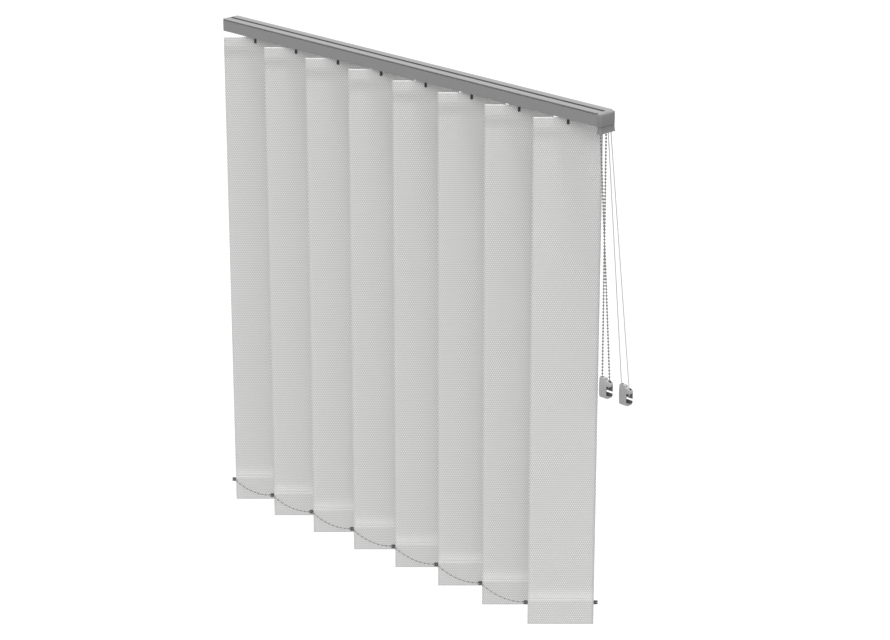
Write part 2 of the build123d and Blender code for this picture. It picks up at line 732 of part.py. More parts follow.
def cord_clamp():
    """The lead carrier's clip, which grips the front run of the draw cord."""
    face = vane_x(0) - CARRIER_LENGTH / 2
    grip = CORD_RADIUS + FIT
    y = (CORD_YS[0] - grip - CLAMP_WALL, CORD_YS[0] + grip + CLAMP_WALL)
    z = (CORD_RUN_Z - grip - 2 * CLAMP_WALL, CORD_RUN_Z + grip + CLAMP_WALL)
    clip = block((face - CLAMP_LENGTH, face), y, z)
    groove_y = (CORD_YS[0] - grip, CORD_YS[0] + grip)
    groove_z = (CORD_RUN_Z - grip, CORD_RUN_Z + grip)
    return clip - block((face - CLAMP_LENGTH - 1, face + 1), groove_y, groove_z)


def pinion_low():
    return ROD_Z - PINION_HEIGHT / 2 - FIT


def pinion():
    """The stem's gear: straight teeth on a short drum."""
    edge = toothed(PINION_TEETH, PINION_RADIUS, PINION_RADIUS - PINION_TOOTH, (0,), (0.5,))
    outline = Polyline(*[(px, py, pinion_low()) for px, py in edge], close=True)
    return extrude(make_face(outline), amount=PINION_HEIGHT, dir=(0, 0, 1))


def turned(index, shape):
    """Sets a piece that is drawn across the rail's line to the vane's own turn."""
    return Pos(vane_x(index), 0, 0) * Rot(0, 0, REST_ANGLE) * shape


def vane_stem(index):
    """A gear and a shaft over a forked hook, whose longer leg stands on the room side."""
    bridge_low = VANE_TOP + LOOSE
    bridge = (bridge_low, bridge_low + STEM_BRIDGE)
    stem = pinion() + prism_z(STEM_RADIUS, 8, (bridge[0] + 1, pinion_low() + 1))
    u = (-STEM_WIDTH / 2, STEM_WIDTH / 2)
    stem += block(u, (-LEG_OUTER, LEG_OUTER), bridge)
    stem += block(u, (-LEG_OUTER, -LEG_INNER), (VANE_TOP - FRONT_LEG, bridge[1]))
    stem += block(u, (LEG_INNER, LEG_OUTER), (VANE_TOP - BACK_LEG, bridge[1]))
    peg_z = (PEG_Z - PEG_HEIGHT / 2, PEG_Z + PEG_HEIGHT / 2)
    stem += block((-PEG_WIDTH / 2, PEG_WIDTH / 2), (-LEG_OUTER, LEG_INNER - RUN), peg_z)
    return turned(index, stem)


# Vanes

def peg_hole():
    """The slot through hanger and cloth that drops over the stem's tongue."""
    half = PEG_WIDTH / 2 + HOLE_SLACK
    height = (HOLE_TOP - PEG_HEIGHT - 2 * HOLE_SLACK, HOLE_TOP)
    return block((-half, half), (-LEG_OUTER, LEG_OUTER), height)


def vane_hanger(index):
    """A stiff strip in the vane's top hem, with the hole that hangs on the hook."""
    top = VANE_TOP - CLOTH - LOOSE
    strip = block(
        (-HANGER_WIDTH / 2, HANGER_WIDTH / 2),
        (-HANGER_THICKNESS / 2, HANGER_THICKNESS / 2),
        (top - HANGER_HEIGHT, top),
    )
    strip -= peg_hole()
    return turned(index, strip)


def hem(top, bottom, half, seam_z):
    """Half outline of a hem: cloth round a strip, closed to a seam at seam_z."""
    outer = half + CLOTH
    sign = 1 if seam_z > top else -1
    fold, mouth = (bottom, top) if sign > 0 else (top, bottom)
    return [
        (outer - CLOTH, fold),
        (outer, fold + sign * CLOTH),
        (outer, mouth),
        (CLOTH / 2, seam_z),
    ]


def hem_hollow(top, bottom, half):
    return [(-half, bottom), (half, bottom), (half, top), (-half, top)]


def vane(index):
    """One length of cloth folded and welded round the hanger above and the weight below."""
    top_mouth = VANE_TOP - CLOTH - 2 * LOOSE - HANGER_HEIGHT
    low_mouth = WEIGHT_TOP + 2 * LOOSE
    upper = hem(VANE_TOP, top_mouth, POCKET_TOP, top_mouth - SEAM)
    lower = hem(low_mouth, VANE_BOTTOM, POCKET_BOTTOM, low_mouth + SEAM)
    half = [(0, VANE_TOP)] + upper + list(reversed(lower)) + [(0, VANE_BOTTOM)]
    x = (-VANE_WIDTH / 2, VANE_WIDTH / 2)
    cloth = run_x(mirrored(half), x)
    wide = (x[0] - 1, x[1] + 1)
    cloth -= run_x(hem_hollow(VANE_TOP - CLOTH, top_mouth, POCKET_TOP), wide)
    cloth -= run_x(hem_hollow(low_mouth, VANE_BOTTOM + CLOTH, POCKET_BOTTOM), wide)
    cloth -= peg_hole()
    return turned(index, cloth)


def lug(side):
    """A rounded clip at the vane's edge, slotted round a pin that holds the chain's ring."""
    start = VANE_WIDTH / 2 + LOOSE
    low, high = LUG_Z - LUG_HEIGHT / 2, LUG_Z + LUG_HEIGHT / 2
    outline = [(side * start, high)]
    for turn in (50, 0, -50):
        angle = math.radians(turn)
        reach = start + LUG_REACH * math.cos(angle)
        outline.append((side * reach, LUG_Z + LUG_HEIGHT / 2 * math.sin(angle)))
    outline.append((side * start, low))
    body = run_y(outline, (-LUG_THICKNESS / 2, LUG_THICKNESS / 2))
    root = sorted((side * (WEIGHT_WIDTH / 2 - 2), side * (start + 1)))
    body += block(root, (-WEIGHT_THICKNESS / 2, WEIGHT_THICKNESS / 2), (low, WEIGHT_TOP))
    slot = sorted((side * (RING_AT - RING_RADIUS - RUN), side * (start + LUG_REACH + 1)))
    body -= block(slot, (-LUG_THICKNESS, LUG_THICKNESS), (LUG_Z - LUG_SLOT / 2, LUG_Z + LUG_SLOT / 2))
    pin_z = (LUG_Z - LUG_SLOT / 2 - FIT, LUG_Z + LUG_SLOT / 2 + FIT)
    return body + Pos(side * RING_AT, 0, 0) * prism_z(LUG_PIN_RADIUS, 4, pin_z)


def bottom_weight(index):
    """A flat weight in the bottom hem, with a chain clip standing out at each side."""
    plate = block(
        (-WEIGHT_WIDTH / 2, WEIGHT_WIDTH / 2),
        (-WEIGHT_THICKNESS / 2, WEIGHT_THICKNESS / 2),
        (VANE_BOTTOM + CLOTH + FIT, WEIGHT_TOP),
    )
    return turned(index, plate + lug(-1) + lug(1))


def ring_place(index, side):
    turn = math.radians(REST_ANGLE)
    reach = side * RING_AT
    return Vector(vane_x(index) + reach * math.cos(turn), reach * math.sin(turn), LUG_Z)


def ring(place):
    half = RING_THICKNESS / 2
    hoop = prism_z(RING_RADIUS, 6, (-half, half)) - prism_z(RING_HOLE, 4, (-half - 1, half + 1))
    return Pos(place.X, place.Y, place.Z) * hoop


def bottom_span(start, end):
    """One sagging length of small beads between two rings."""
    reach = RING_RADIUS * 0.8
    width = (end - start).length
    line = []
    steps = 2 * TURN_STEPS
    for step in range(steps + 1):
        share = step / steps
        x = start.X + reach + (width - 2 * reach) * share
        line.append(Vector(x, start.Y, start.Z - 4 * SPAN_SAG * share * (1 - share)))
    total = along(line)[-1]
    pitch = total / SPAN_BEADS
    stations = [(0, SMALL_LINK_RADIUS)]
    for index in range(SPAN_BEADS):
        stations.append(((index + 0.5) * pitch, SMALL_BEAD_RADIUS))
        stations.append(((index + 1) * pitch, SMALL_LINK_RADIUS))
    return beaded(line, stations, SMALL_BEAD_SIDES)


def bottom_chain(side):
    """The chain that joins the weights' clips along one side of the vanes."""
    places = [ring_place(index, side) for index in range(VANE_COUNT)]
    chain = ring(places[0])
    for place in places[1:]:
        chain += ring(place)
    for start, end in zip(places, places[1:]):
        chain += bottom_span(start, end)
    return chain


def pieces():
    yield "headrail", headrail()
    yield "left_end_cap", left_end_cap()
    yield "control_housing", control_housing()
    yield "cord_guide", cord_guide()
    yield "end_cap_screws", end_cap_screws()
    yield "tilt_rod", tilt_rod()
    yield "chain_sprocket", chain_sprocket()
    yield "return_pulley", return_pulley()
    yield "cord_pulley_front", cord_pulley(CORD_YS[0])
    yield "cord_pulley_rear", cord_pulley(CORD_YS[1])
    yield "pulley_axle", pulley_axle()
    yield "cord_clamp", cord_clamp()
    yield "draw_cord_run", draw_cord_run()
    yield "draw_cord_loop", draw_cord_loop()
    yield "ball_chain", ball_chain()
    yield "chain_weight", hook_on_weight(*loop_middle(ROD_Y, CHAIN_SWING), CHAIN_WEIGHT_TOP)
    yield "cord_weight", hook_on_weight(*loop_middle(CORD_MIDDLE_Y, CORD_SWING), CORD_WEIGHT_TOP)
    yield "bottom_chain_front", bottom_chain(-1)
    yield "bottom_chain_back", bottom_chain(1)
    for index in range(VANE_COUNT):
        number = index + 1
        yield f"carrier_{number}", carrier(index)
        yield f"vane_stem_{number}", vane_stem(index)
        yield f"vane_hanger_{number}", vane_hanger(index)
        yield f"vane_{number}", vane(index)
        yield f"bottom_weight_{number}", bottom_weight(index)


os.makedirs("parts", exist_ok=True)
for name, shape in pieces():
    export_step(one(shape), f"parts/{name}.step")
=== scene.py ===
"""A vertical blind: an aluminium headrail, turned cloth vanes, two control loops and their weights.

Lengths are in metres. X runs along the rail towards the control end, -Y faces the room, Z is up,
and the origin is the middle of the rail's top face.
"""

from __future__ import annotations

import json
import logging
import math
from dataclasses import dataclass
from enum import Enum

import bmesh
import bpy
from bmesh.types import BMEdge, BMesh, BMVert
from bpy.types import ID, Material, Node, NodeSocket, NodeTree, Object
from mathutils import Matrix, Vector

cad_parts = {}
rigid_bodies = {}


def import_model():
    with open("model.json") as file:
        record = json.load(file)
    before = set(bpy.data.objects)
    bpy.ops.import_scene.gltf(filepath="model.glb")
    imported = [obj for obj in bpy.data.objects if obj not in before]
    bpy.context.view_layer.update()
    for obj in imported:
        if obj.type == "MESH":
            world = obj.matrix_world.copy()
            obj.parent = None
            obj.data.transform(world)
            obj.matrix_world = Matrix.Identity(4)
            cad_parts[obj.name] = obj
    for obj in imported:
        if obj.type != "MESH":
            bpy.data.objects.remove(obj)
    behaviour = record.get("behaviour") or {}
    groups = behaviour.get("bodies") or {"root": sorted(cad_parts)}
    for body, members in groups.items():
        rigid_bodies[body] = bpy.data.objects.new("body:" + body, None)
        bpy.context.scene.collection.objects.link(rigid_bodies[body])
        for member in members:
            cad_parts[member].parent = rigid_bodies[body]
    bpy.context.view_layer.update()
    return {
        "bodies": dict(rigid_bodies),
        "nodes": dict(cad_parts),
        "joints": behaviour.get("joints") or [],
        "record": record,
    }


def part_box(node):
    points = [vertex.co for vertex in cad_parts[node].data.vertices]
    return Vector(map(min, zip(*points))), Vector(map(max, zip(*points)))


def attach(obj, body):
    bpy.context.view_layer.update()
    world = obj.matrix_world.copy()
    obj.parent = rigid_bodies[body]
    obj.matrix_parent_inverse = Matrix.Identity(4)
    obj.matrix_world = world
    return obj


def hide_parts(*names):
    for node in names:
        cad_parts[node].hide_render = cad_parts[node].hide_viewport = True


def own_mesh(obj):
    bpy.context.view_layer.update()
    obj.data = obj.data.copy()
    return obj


LOG = logging.getLogger("vertical_blind")
Colour = tuple[float, float, float]
Span = tuple[float, float]

VANE_COUNT = 8
REST_TURN = math.radians(45.0)
RING_REACH = 0.06825
STRAND_X = 0.50985
WHITE = (1.0, 1.0, 1.0, 1.0)
WELD = 0.000002
CUT_GRIP = 0.000001
TOUCH = 0.0001
SHARP_ANGLE = math.radians(32.0)


class Slot(Enum):
    """The record's material slots."""

    CLOTH = "vane_fabric"
    CORD = "cord_weave"
    CHAIN = "chain_plastic"
    SMALL_CHAIN = "small_chain_plastic"
    END = "end_plastic"
    WEIGHT = "weight_plastic"
    PLATE = "plate_plastic"


class Step(Enum):
    """What a tool's shape does to the piece."""

    CUT = "DIFFERENCE"
    JOIN = "UNION"


Tool = tuple[Step, BMesh]


def linear(level: float) -> float:
    """The linear value of a display level.

    Args:
        level: A grey level from 0 to 255, as a screen shows it.

    Returns:
        The same grey as a linear colour channel.
    """
    share = level / 255.0
    return share / 12.92 if share <= 0.04045 else ((share + 0.055) / 1.055) ** 2.4


def grey(level: float, warmth: float = 0.0) -> Colour:
    """A near-neutral linear colour.

    Args:
        level: The display level from 0 to 255.
        warmth: How many levels red stands above, and blue below, the middle.

    Returns:
        The colour's three linear channels.
    """
    return linear(level + warmth), linear(level), linear(level - warmth)


def link(name: str, data: ID) -> Object:
    """Makes an object and puts it in the scene.

    Args:
        name: The object's name.
        data: Its mesh, curve, lamp or camera.

    Returns:
        The new object.
    """
    thing = bpy.data.objects.new(name, data)
    bpy.context.scene.collection.objects.link(thing)
    return thing


def only(geom: list, kind: type) -> list:
    """The elements of one kind among what an operator gives."""
    return [element for element in geom if isinstance(element, kind)]


def everything(mesh: BMesh) -> list:
    """All vertices, edges and faces of a bmesh."""
    return mesh.verts[:] + mesh.edges[:] + mesh.faces[:]


def ease(
    mesh: BMesh, geom: list, offset: float, segments: int, affect: str = "EDGES", clamp: bool = False
) -> None:
    """Rounds edges or corners evenly.

    Args:
        mesh: The bmesh that they are in.
        geom: The edges or the vertices.
        offset: The round's radius.
        segments: How many flats it has.
        affect: EDGES or VERTICES.
        clamp: Whether the rounds stop where they would overlap.
    """
    bmesh.ops.bevel(
        mesh, geom=geom, offset=offset, segments=segments, profile=0.5, affect=affect, material=-1,
        clamp_overlap=clamp,
    )


def pin(mesh: BMesh, radius: float, depth: float, place: Matrix, segments: int) -> None:
    """Adds a round bar.

    Args:
        mesh: The bmesh that it goes into.
        radius: Its radius.
        depth: Its length.
        place: Its middle and its turn from Z.
        segments: How many flats it has.
    """
    bmesh.ops.create_cone(
        mesh, cap_ends=True, segments=segments, radius1=radius, radius2=radius, depth=depth, matrix=place
    )


def bar(x: Span, y: Span, z: Span) -> BMesh:
    """A plain bar between its ends along X, Y and Z.

    Args:
        x: Its ends along X.
        y: Its ends along Y.
        z: Its ends along Z.

    Returns:
        The bar's bmesh.
    """
    middle = [(pair[0] + pair[1]) / 2 for pair in (x, y, z)]
    size = [pair[1] - pair[0] for pair in (x, y, z)]
    mesh = bmesh.new()
    bmesh.ops.create_cube(mesh, size=1.0, matrix=Matrix.Translation(middle) @ Matrix.Diagonal((*size, 1.0)))
    return mesh


def turn_to_rest(mesh: BMesh, axis: Span) -> None:
    """Moves a vane's part to the vane's turning line and to its turn at rest.

    Args:
        mesh: The part's bmesh, flat and about the origin.
        axis: The turning line, as X and Y.
    """
    turn = Matrix.Translation((*axis, 0.0)) @ Matrix.Rotation(REST_TURN, 4, "Z")
    bmesh.ops.transform(mesh, matrix=turn, verts=mesh.verts[:])


def stand_in(thing: Object, body: str, node: str) -> None:
    """Sets a piece on the body it rides on and hides the node that it stands for.

    Args:
        thing: The piece.
        body: The body.
        node: The node that it replaces.
    """
    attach(thing, body)
    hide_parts(node)


def carve(thing: Object, tools: list[Tool]) -> None:
    """Cuts away and joins shapes in order, and keeps the result as the piece's own mesh.

    Args:
        thing: The piece. The tools' faces take its last material.
        tools: Each step and its shape, which is freed.
    """
    shapes = []
    for step, mesh in tools:
        data = bpy.data.meshes.new("tool")
        for face in mesh.faces:
            face.material_index = len(thing.data.materials) - 1
        mesh.to_mesh(data)
        mesh.free()
        for material in thing.data.materials:
            data.materials.append(material)
        shapes.append(link("tool", data))
        cut = thing.modifiers.new("tool", "BOOLEAN")
        cut.operation = step.value
        cut.solver = "EXACT"
        cut.object = shapes[-1]
    bpy.context.view_layer.update()
    graph = bpy.context.evaluated_depsgraph_get()
    result = bpy.data.meshes.new_from_object(thing.evaluated_get(graph))
    thing.modifiers.clear()
    thing.data = result
    for face in result.polygons:
        face.use_smooth = True
    result.set_sharp_from_angle(angle=SHARP_ANGLE)
    for shape in shapes:
        bpy.data.objects.remove(shape)


class Wiring:
    """Adds nodes to one tree and joins them."""

    def __init__(self, tree: NodeTree) -> None:
        """Starts on a tree.

        Args:
            tree: The shader or group tree that the nodes go into.
        """
        self.tree = tree
        self.column = 0

    def add(self, kind: str, **values: object) -> Node:
        """Adds a node and sets what is named.

        Args:
            kind: The node's type name.
            **values: Properties of the node, or sockets by their name with spaces as underscores.

        Returns:
            The new node.
        """
        node = self.tree.nodes.new(kind)
        node.location = (self.column * 190.0, 0.0)
        self.column += 1
        for name, value in values.items():
            if hasattr(node, name):
                setattr(node, name, value)
            else:
                self.put(node.inputs[name.replace("_", " ")], value)
        return node

    def put(self, socket: NodeSocket, value: object) -> None:
        """Joins a socket to another one, or sets its plain value.

        Args:
            socket: The input.
            value: An output socket or a plain value.
        """
        if isinstance(value, NodeSocket):
            self.tree.links.new(value, socket)
        else:
            socket.default_value = value

    def sums(
        self, operation: str, first: object, second: object = 0.0, clamp: bool = False
    ) -> NodeSocket:
        """A Math node.

        Args:
            operation: The operation's name.
            first: A socket or a number.
            second: A socket or a number.
            clamp: Whether the result stays from 0 to 1.

        Returns:
            The node's output socket.
        """
        node = self.add("ShaderNodeMath", operation=operation, use_clamp=clamp)
        self.put(node.inputs[0], first)
        self.put(node.inputs[1], second)
        return node.outputs[0]

    def blend(self, share: object, first: object, second: object) -> NodeSocket:
        """A colour mix.

        Args:
            share: A socket or a number.
            first: The colour at share 0.
            second: The colour at share 1.

        Returns:
            The node's colour output.
        """
        node = self.add("ShaderNodeMix", data_type="RGBA")
        self.put(node.inputs[0], share)
        self.put(node.inputs[6], first)
        self.put(node.inputs[7], second)
        return node.outputs[2]

    def seen(self) -> NodeSocket:
        """1 on rays that show the surroundings: straight, in a gloss or through glass."""
        path = self.add("ShaderNodeLightPath")
        seen = self.sums("MAXIMUM", path.outputs["Is Camera Ray"], path.outputs["Is Glossy Ray"])
        return self.sums("MAXIMUM", seen, path.outputs["Is Transmission Ray"])


class SharedEffects:
    """Node groups that several finishes use, each built once."""

    FINE_SHARE = 0.4
    BROAD_SCALE = 0.06
    DRAWN = (0.012, 1.0, 1.0)
    SLUB_EDGE = 0.30
    SLUB_GAIN = 1.7
    SLUB_LIFT = 0.8

    def __init__(self) -> None:
        """Builds the groups."""
        self.mottle = self._mottle()
        self.streaks = self._streaks()
        self.weave = self._weave()

    @staticmethod
    def _open(name: str, inputs: dict[str, float], outputs: list[str]) -> tuple[Wiring, object, object]:
        """Starts a node group.

        Args:
            name: The group's name.
            inputs: Its number inputs with their usual values. Vector is always there as well.
            outputs: Its number outputs.

        Returns:
            The wiring, the group's input sockets and its output sockets.
        """
        tree = bpy.data.node_groups.new(name, "ShaderNodeTree")
        tree.interface.new_socket("Vector", in_out="INPUT", socket_type="NodeSocketVector")
        for label, usual in inputs.items():
            socket = tree.interface.new_socket(label, in_out="INPUT", socket_type="NodeSocketFloat")
            socket.default_value = usual
        for label in outputs:
            tree.interface.new_socket(label, in_out="OUTPUT", socket_type="NodeSocketFloat")
        wires = Wiring(tree)
        return wires, wires.add("NodeGroupInput").outputs, wires.add("NodeGroupOutput").inputs

    @staticmethod
    def _swing(wires: Wiring, ins: object, mask: NodeSocket) -> NodeSocket:
        """The roughness, swung by a mask about its middle value.

        Args:
            wires: The group's wiring.
            ins: Its input sockets.
            mask: The mask, from 0 to 1.

        Returns:
            The roughness's socket.
        """
        swing = wires.sums("MULTIPLY", wires.sums("SUBTRACT", mask, 0.5), ins["Spread"])
        return wires.sums("ADD", ins["Roughness"], swing, clamp=True)

    def _mottle(self) -> NodeTree:
        """Fine and coarse noise: a 0 to 1 mask, a roughness and a height."""
        usual = {"Scale": 400.0, "Roughness": 0.4, "Spread": 0.1}
        wires, ins, outs = self._open("mottle", usual, ["Mask", "Roughness", "Height"])
        fine = wires.add("ShaderNodeTexNoise", Vector=ins["Vector"], Scale=ins["Scale"], Detail=3.0)
        broad_scale = wires.sums("MULTIPLY", ins["Scale"], self.BROAD_SCALE)
        broad = wires.add("ShaderNodeTexNoise", Vector=ins["Vector"], Scale=broad_scale)
        fine_part = wires.sums("MULTIPLY", fine.outputs[0], self.FINE_SHARE)
        broad_part = wires.sums("MULTIPLY", broad.outputs[0], 1.0 - self.FINE_SHARE)
        mask = wires.sums("ADD", fine_part, broad_part)
        wires.put(outs["Mask"], mask)
        wires.put(outs["Roughness"], self._swing(wires, ins, mask))
        wires.put(outs["Height"], fine.outputs[0])
        return wires.tree

    def _streaks(self) -> NodeTree:
        """The faint lines that an extruding die leaves along X: a mask, a roughness and a height."""
        usual = {"Scale": 900.0, "Roughness": 0.4, "Spread": 0.15}
        wires, ins, outs = self._open("die_lines", usual, ["Mask", "Roughness", "Height"])
        drawn = wires.add("ShaderNodeMapping", Vector=ins["Vector"], Scale=self.DRAWN)
        lines = wires.add("ShaderNodeTexNoise", Vector=drawn.outputs[0], Scale=ins["Scale"], Detail=2.0)
        wires.put(outs["Mask"], lines.outputs[0])
        wires.put(outs["Roughness"], self._swing(wires, ins, lines.outputs[0]))
        wires.put(outs["Height"], lines.outputs[0])
        return wires.tree

    def _weave(self) -> NodeTree:
        """Threads crossing over and under, with raised slubs in staggered rows."""
        usual = {"Thread": 0.0006, "Slub across": 0.0026, "Slub along": 0.0056}
        wires, ins, outs = self._open("weave", usual, ["Slubs", "Threads", "Height"])
        parts = wires.add("ShaderNodeSeparateXYZ", Vector=ins["Vector"]).outputs

        def crossing(across: object, along: object) -> NodeSocket:
            """The product of two waves, across and along, of the lengths given."""
            waves = []
            for place, length in ((parts[0], across), (parts[1], along)):
                turns = wires.sums("DIVIDE", place, length)
                waves.append(wires.sums("SINE", wires.sums("MULTIPLY", turns, 2.0 * math.pi)))
            return wires.sums("MULTIPLY", *waves)

        raised = wires.sums("SUBTRACT", crossing(ins["Slub across"], ins["Slub along"]), self.SLUB_EDGE)
        slubs = wires.sums("MULTIPLY", raised, self.SLUB_GAIN, clamp=True)
        threads = wires.sums("MULTIPLY", crossing(ins["Thread"], ins["Thread"]), 0.5)
        threads = wires.sums("ADD", threads, 0.5)
        wires.put(outs["Slubs"], slubs)
        wires.put(outs["Threads"], threads)
        wires.put(outs["Height"], wires.sums("ADD", threads, wires.sums("MULTIPLY", slubs, self.SLUB_LIFT)))
        return wires.tree


@dataclass(frozen=True)
class Finish:
    """A surface: its colour, gloss and fine relief.

    Attributes:
        name: The material's name.
        colour: The base colour, linear.
        dark: The colour in the low spots, linear.
        roughness: The middle roughness.
        spread: How far the roughness swings.
        metallic: 1 for bare metal.
        scale: The grain's scale.
        relief: The height of the grain, in metres.
        coat: A clear skin's weight.
    """

    name: str
    colour: Colour
    dark: Colour
    roughness: float = 0.45
    spread: float = 0.12
    metallic: float = 0.0
    scale: float = 500.0
    relief: float = 0.00003
    coat: float = 0.0

    def material(self, effects: SharedEffects) -> Material:
        """Builds the material.

        Args:
            effects: The shared node groups.

        Returns:
            The finished material.
        """
        material = bpy.data.materials.new(self.name)
        material.use_nodes = True
        material.node_tree.nodes.clear()
        wires = Wiring(material.node_tree)
        self.surface(wires, wires.add("ShaderNodeTexCoord"), effects)
        return material

    def surface(self, wires: Wiring, place: Node, effects: SharedEffects) -> Node:
        """Grain from a shared group, feeding one shader.

        Args:
            wires: The material's wiring.
            place: Its Texture Coordinate node.
            effects: The shared node groups.

        Returns:
            The Principled shader.
        """
        grain = self.grain(wires, place, self.pattern(effects))
        colour = wires.blend(grain["Mask"], (*self.dark, 1.0), (*self.colour, 1.0))
        return self.finish(wires, colour, grain["Roughness"], grain["Height"])

    def pattern(self, effects: SharedEffects) -> NodeTree:
        """The node group that gives the grain."""
        return effects.mottle

    def grain(self, wires: Wiring, place: Node, pattern: NodeTree) -> object:
        """Adds the grain's group, laid out by the object's own coordinates.

        Args:
            wires: The material's wiring.
            place: Its Texture Coordinate node.
            pattern: The node group.

        Returns:
            The group's output sockets.
        """
        return wires.add(
            "ShaderNodeGroup", node_tree=pattern, Vector=place.outputs["Object"], Scale=self.scale,
            Roughness=self.roughness, Spread=self.spread,
        ).outputs

    def finish(self, wires: Wiring, colour: object, rough: object, height: object) -> Node:
        """The shader, its bump and the material's output.

        Args:
            wires: The material's wiring.
            colour: The base colour's socket.
            rough: The roughness's socket or value.
            height: The relief's socket.

        Returns:
            The Principled shader.
        """
        bump = wires.add("ShaderNodeBump", Height=height, Distance=self.relief, Strength=1.0)
        shader = wires.add(
            "ShaderNodeBsdfPrincipled", Base_Color=colour, Roughness=rough, Metallic=self.metallic,
            Coat_Weight=self.coat, Normal=bump.outputs[0],
        )
        wires.add("ShaderNodeOutputMaterial", Surface=shader.outputs[0])
        return shader


@dataclass(frozen=True)
class ExtrudedMetal(Finish):
    """Satin metal with die lines along the rail."""

    def pattern(self, effects: SharedEffects) -> NodeTree:
        """The die lines."""
        return effects.streaks


@dataclass(frozen=True)
class WovenCloth(Finish):
    """Cloth with fine threads and light slubs, laid out by the piece's own UV map in metres.

    Attributes:
        slub: The slubs' colour, linear.
        thread: The repeat of the threads.
        slub_across: The repeat of the slubs across the vane.
        slub_along: The repeat of two rows of slubs along it.
        sheen: The weight of the soft nap.
        nap: The nap's roughness.
        patchy: How far the mottle fades the threads.
    """

    slub: Colour = (1.0, 1.0, 1.0)
    thread: float = 0.00094
    slub_across: float = 0.00374
    slub_along: float = 0.0079
    sheen: float = 0.1
    nap: float = 0.5
    patchy: float = 0.25

    def surface(self, wires: Wiring, place: Node, effects: SharedEffects) -> Node:
        """Threads and slubs over the mottle.

        Args:
            wires: The material's wiring.
            place: Its Texture Coordinate node.
            effects: The shared node groups.

        Returns:
            The Principled shader.
        """
        weave = wires.add(
            "ShaderNodeGroup", node_tree=effects.weave, Vector=place.outputs["UV"], Thread=self.thread,
            Slub_across=self.slub_across, Slub_along=self.slub_along,
        ).outputs
        grain = self.grain(wires, place, effects.mottle)
        plain = (*self.colour, 1.0)
        ground = wires.blend(weave["Threads"], (*self.dark, 1.0), plain)
        mottled = wires.blend(wires.sums("MULTIPLY", grain["Mask"], self.patchy), ground, plain)
        colour = wires.blend(weave["Slubs"], mottled, (*self.slub, 1.0))
        shader = self.finish(wires, colour, grain["Roughness"], weave["Height"])
        shader.inputs["Sheen Weight"].default_value = self.sheen
        shader.inputs["Sheen Roughness"].default_value = self.nap
        return shader


@dataclass(frozen=True)
class BraidedCord(Finish):
    """A woven cord: strands that wind both ways, laid out by the curve's own UV map.

    Attributes:
        strands: How many strands go round.
        winds: How many times they wind along the whole length.
    """

    strands: float = 8.0
    winds: float = 260.0

    def surface(self, wires: Wiring, place: Node, effects: SharedEffects) -> Node:
        """Two crossing families of strands.

        Args:
            wires: The material's wiring.
            place: Its Texture Coordinate node.
            effects: The shared node groups.

        Returns:
            The Principled shader.
        """
        parts = wires.add("ShaderNodeSeparateXYZ", Vector=place.outputs["UV"]).outputs
        along = wires.sums("MULTIPLY", parts[0], self.winds * self.strands)
        about = wires.sums("MULTIPLY", parts[1], self.strands)
        one = wires.sums("SINE", wires.sums("MULTIPLY", wires.sums("ADD", along, about), math.pi))
        other = wires.sums("SINE", wires.sums("MULTIPLY", wires.sums("SUBTRACT", along, about), math.pi))
        braid = wires.sums("ABSOLUTE", wires.sums("MULTIPLY", one, other))
        colour = wires.blend(braid, (*self.dark, 1.0), (*self.colour, 1.0))
        return self.finish(wires, colour, self.roughness, braid)


@dataclass(frozen=True)
class Palette:
    """Every finish of the blind."""

    rail: ExtrudedMetal = ExtrudedMetal("satin_rail", grey(136), grey(126), 0.5, 0.10, 0.25, 900.0, 0.000012)
    end: Finish = Finish("moulded_end", grey(128), grey(118), 0.55, 0.14, 0.0, 700.0, 0.00003)
    inner: Finish = Finish("inner_moulding", grey(196, 2), grey(184, 2), 0.5, 0.1, 0.0, 600.0, 0.00003)
    hook: Finish = Finish("dark_hook", grey(36), grey(28), 0.5, 0.12, 0.0, 900.0, 0.00003)
    rod: ExtrudedMetal = ExtrudedMetal("drawn_rod", grey(190), grey(178), 0.35, 0.1, 1.0, 900.0, 0.00001)
    screw: Finish = Finish("plated_screw", grey(176), grey(160), 0.3, 0.12, 1.0, 1500.0, 0.00001)
    weight: Finish = Finish("smoked_weight", grey(166), grey(154), 0.4, 0.1, 0.0, 800.0, 0.00003, 0.1)
    # The hook weights' hollow, channel, slit and boss: a darker grey that adds painted shade to the real
    # shade in the recess.
    weight_inside: Finish = Finish("weight_inside", grey(104), grey(92), 0.6, 0.1, 0.0, 800.0, 0.00003)
    plate: Finish = Finish("clip_plate", grey(70), grey(56), 0.45, 0.12, 0.0, 900.0, 0.00003)
    hanger: Finish = Finish("hanger_strip", grey(206), grey(198), 0.5, 0.1, 0.0, 500.0, 0.00003)
    bead: Finish = Finish("chain_bead", grey(124), grey(108), 0.35, 0.1, 0.0, 1200.0, 0.00002, 0.1)
    small_bead: Finish = Finish("small_bead", grey(112), grey(98), 0.35, 0.1, 0.0, 1200.0, 0.00002, 0.1)
    cloth: WovenCloth = WovenCloth(
        "woven_vane", grey(202, 0.5), grey(190, 0.5), 0.85, 0.1, 0.0, 260.0, 0.00010, slub=grey(246)
    )
    cord: BraidedCord = BraidedCord("braided_cord", grey(214), grey(176), 0.8, 0.0, 0.0, 1.0, 0.00012)


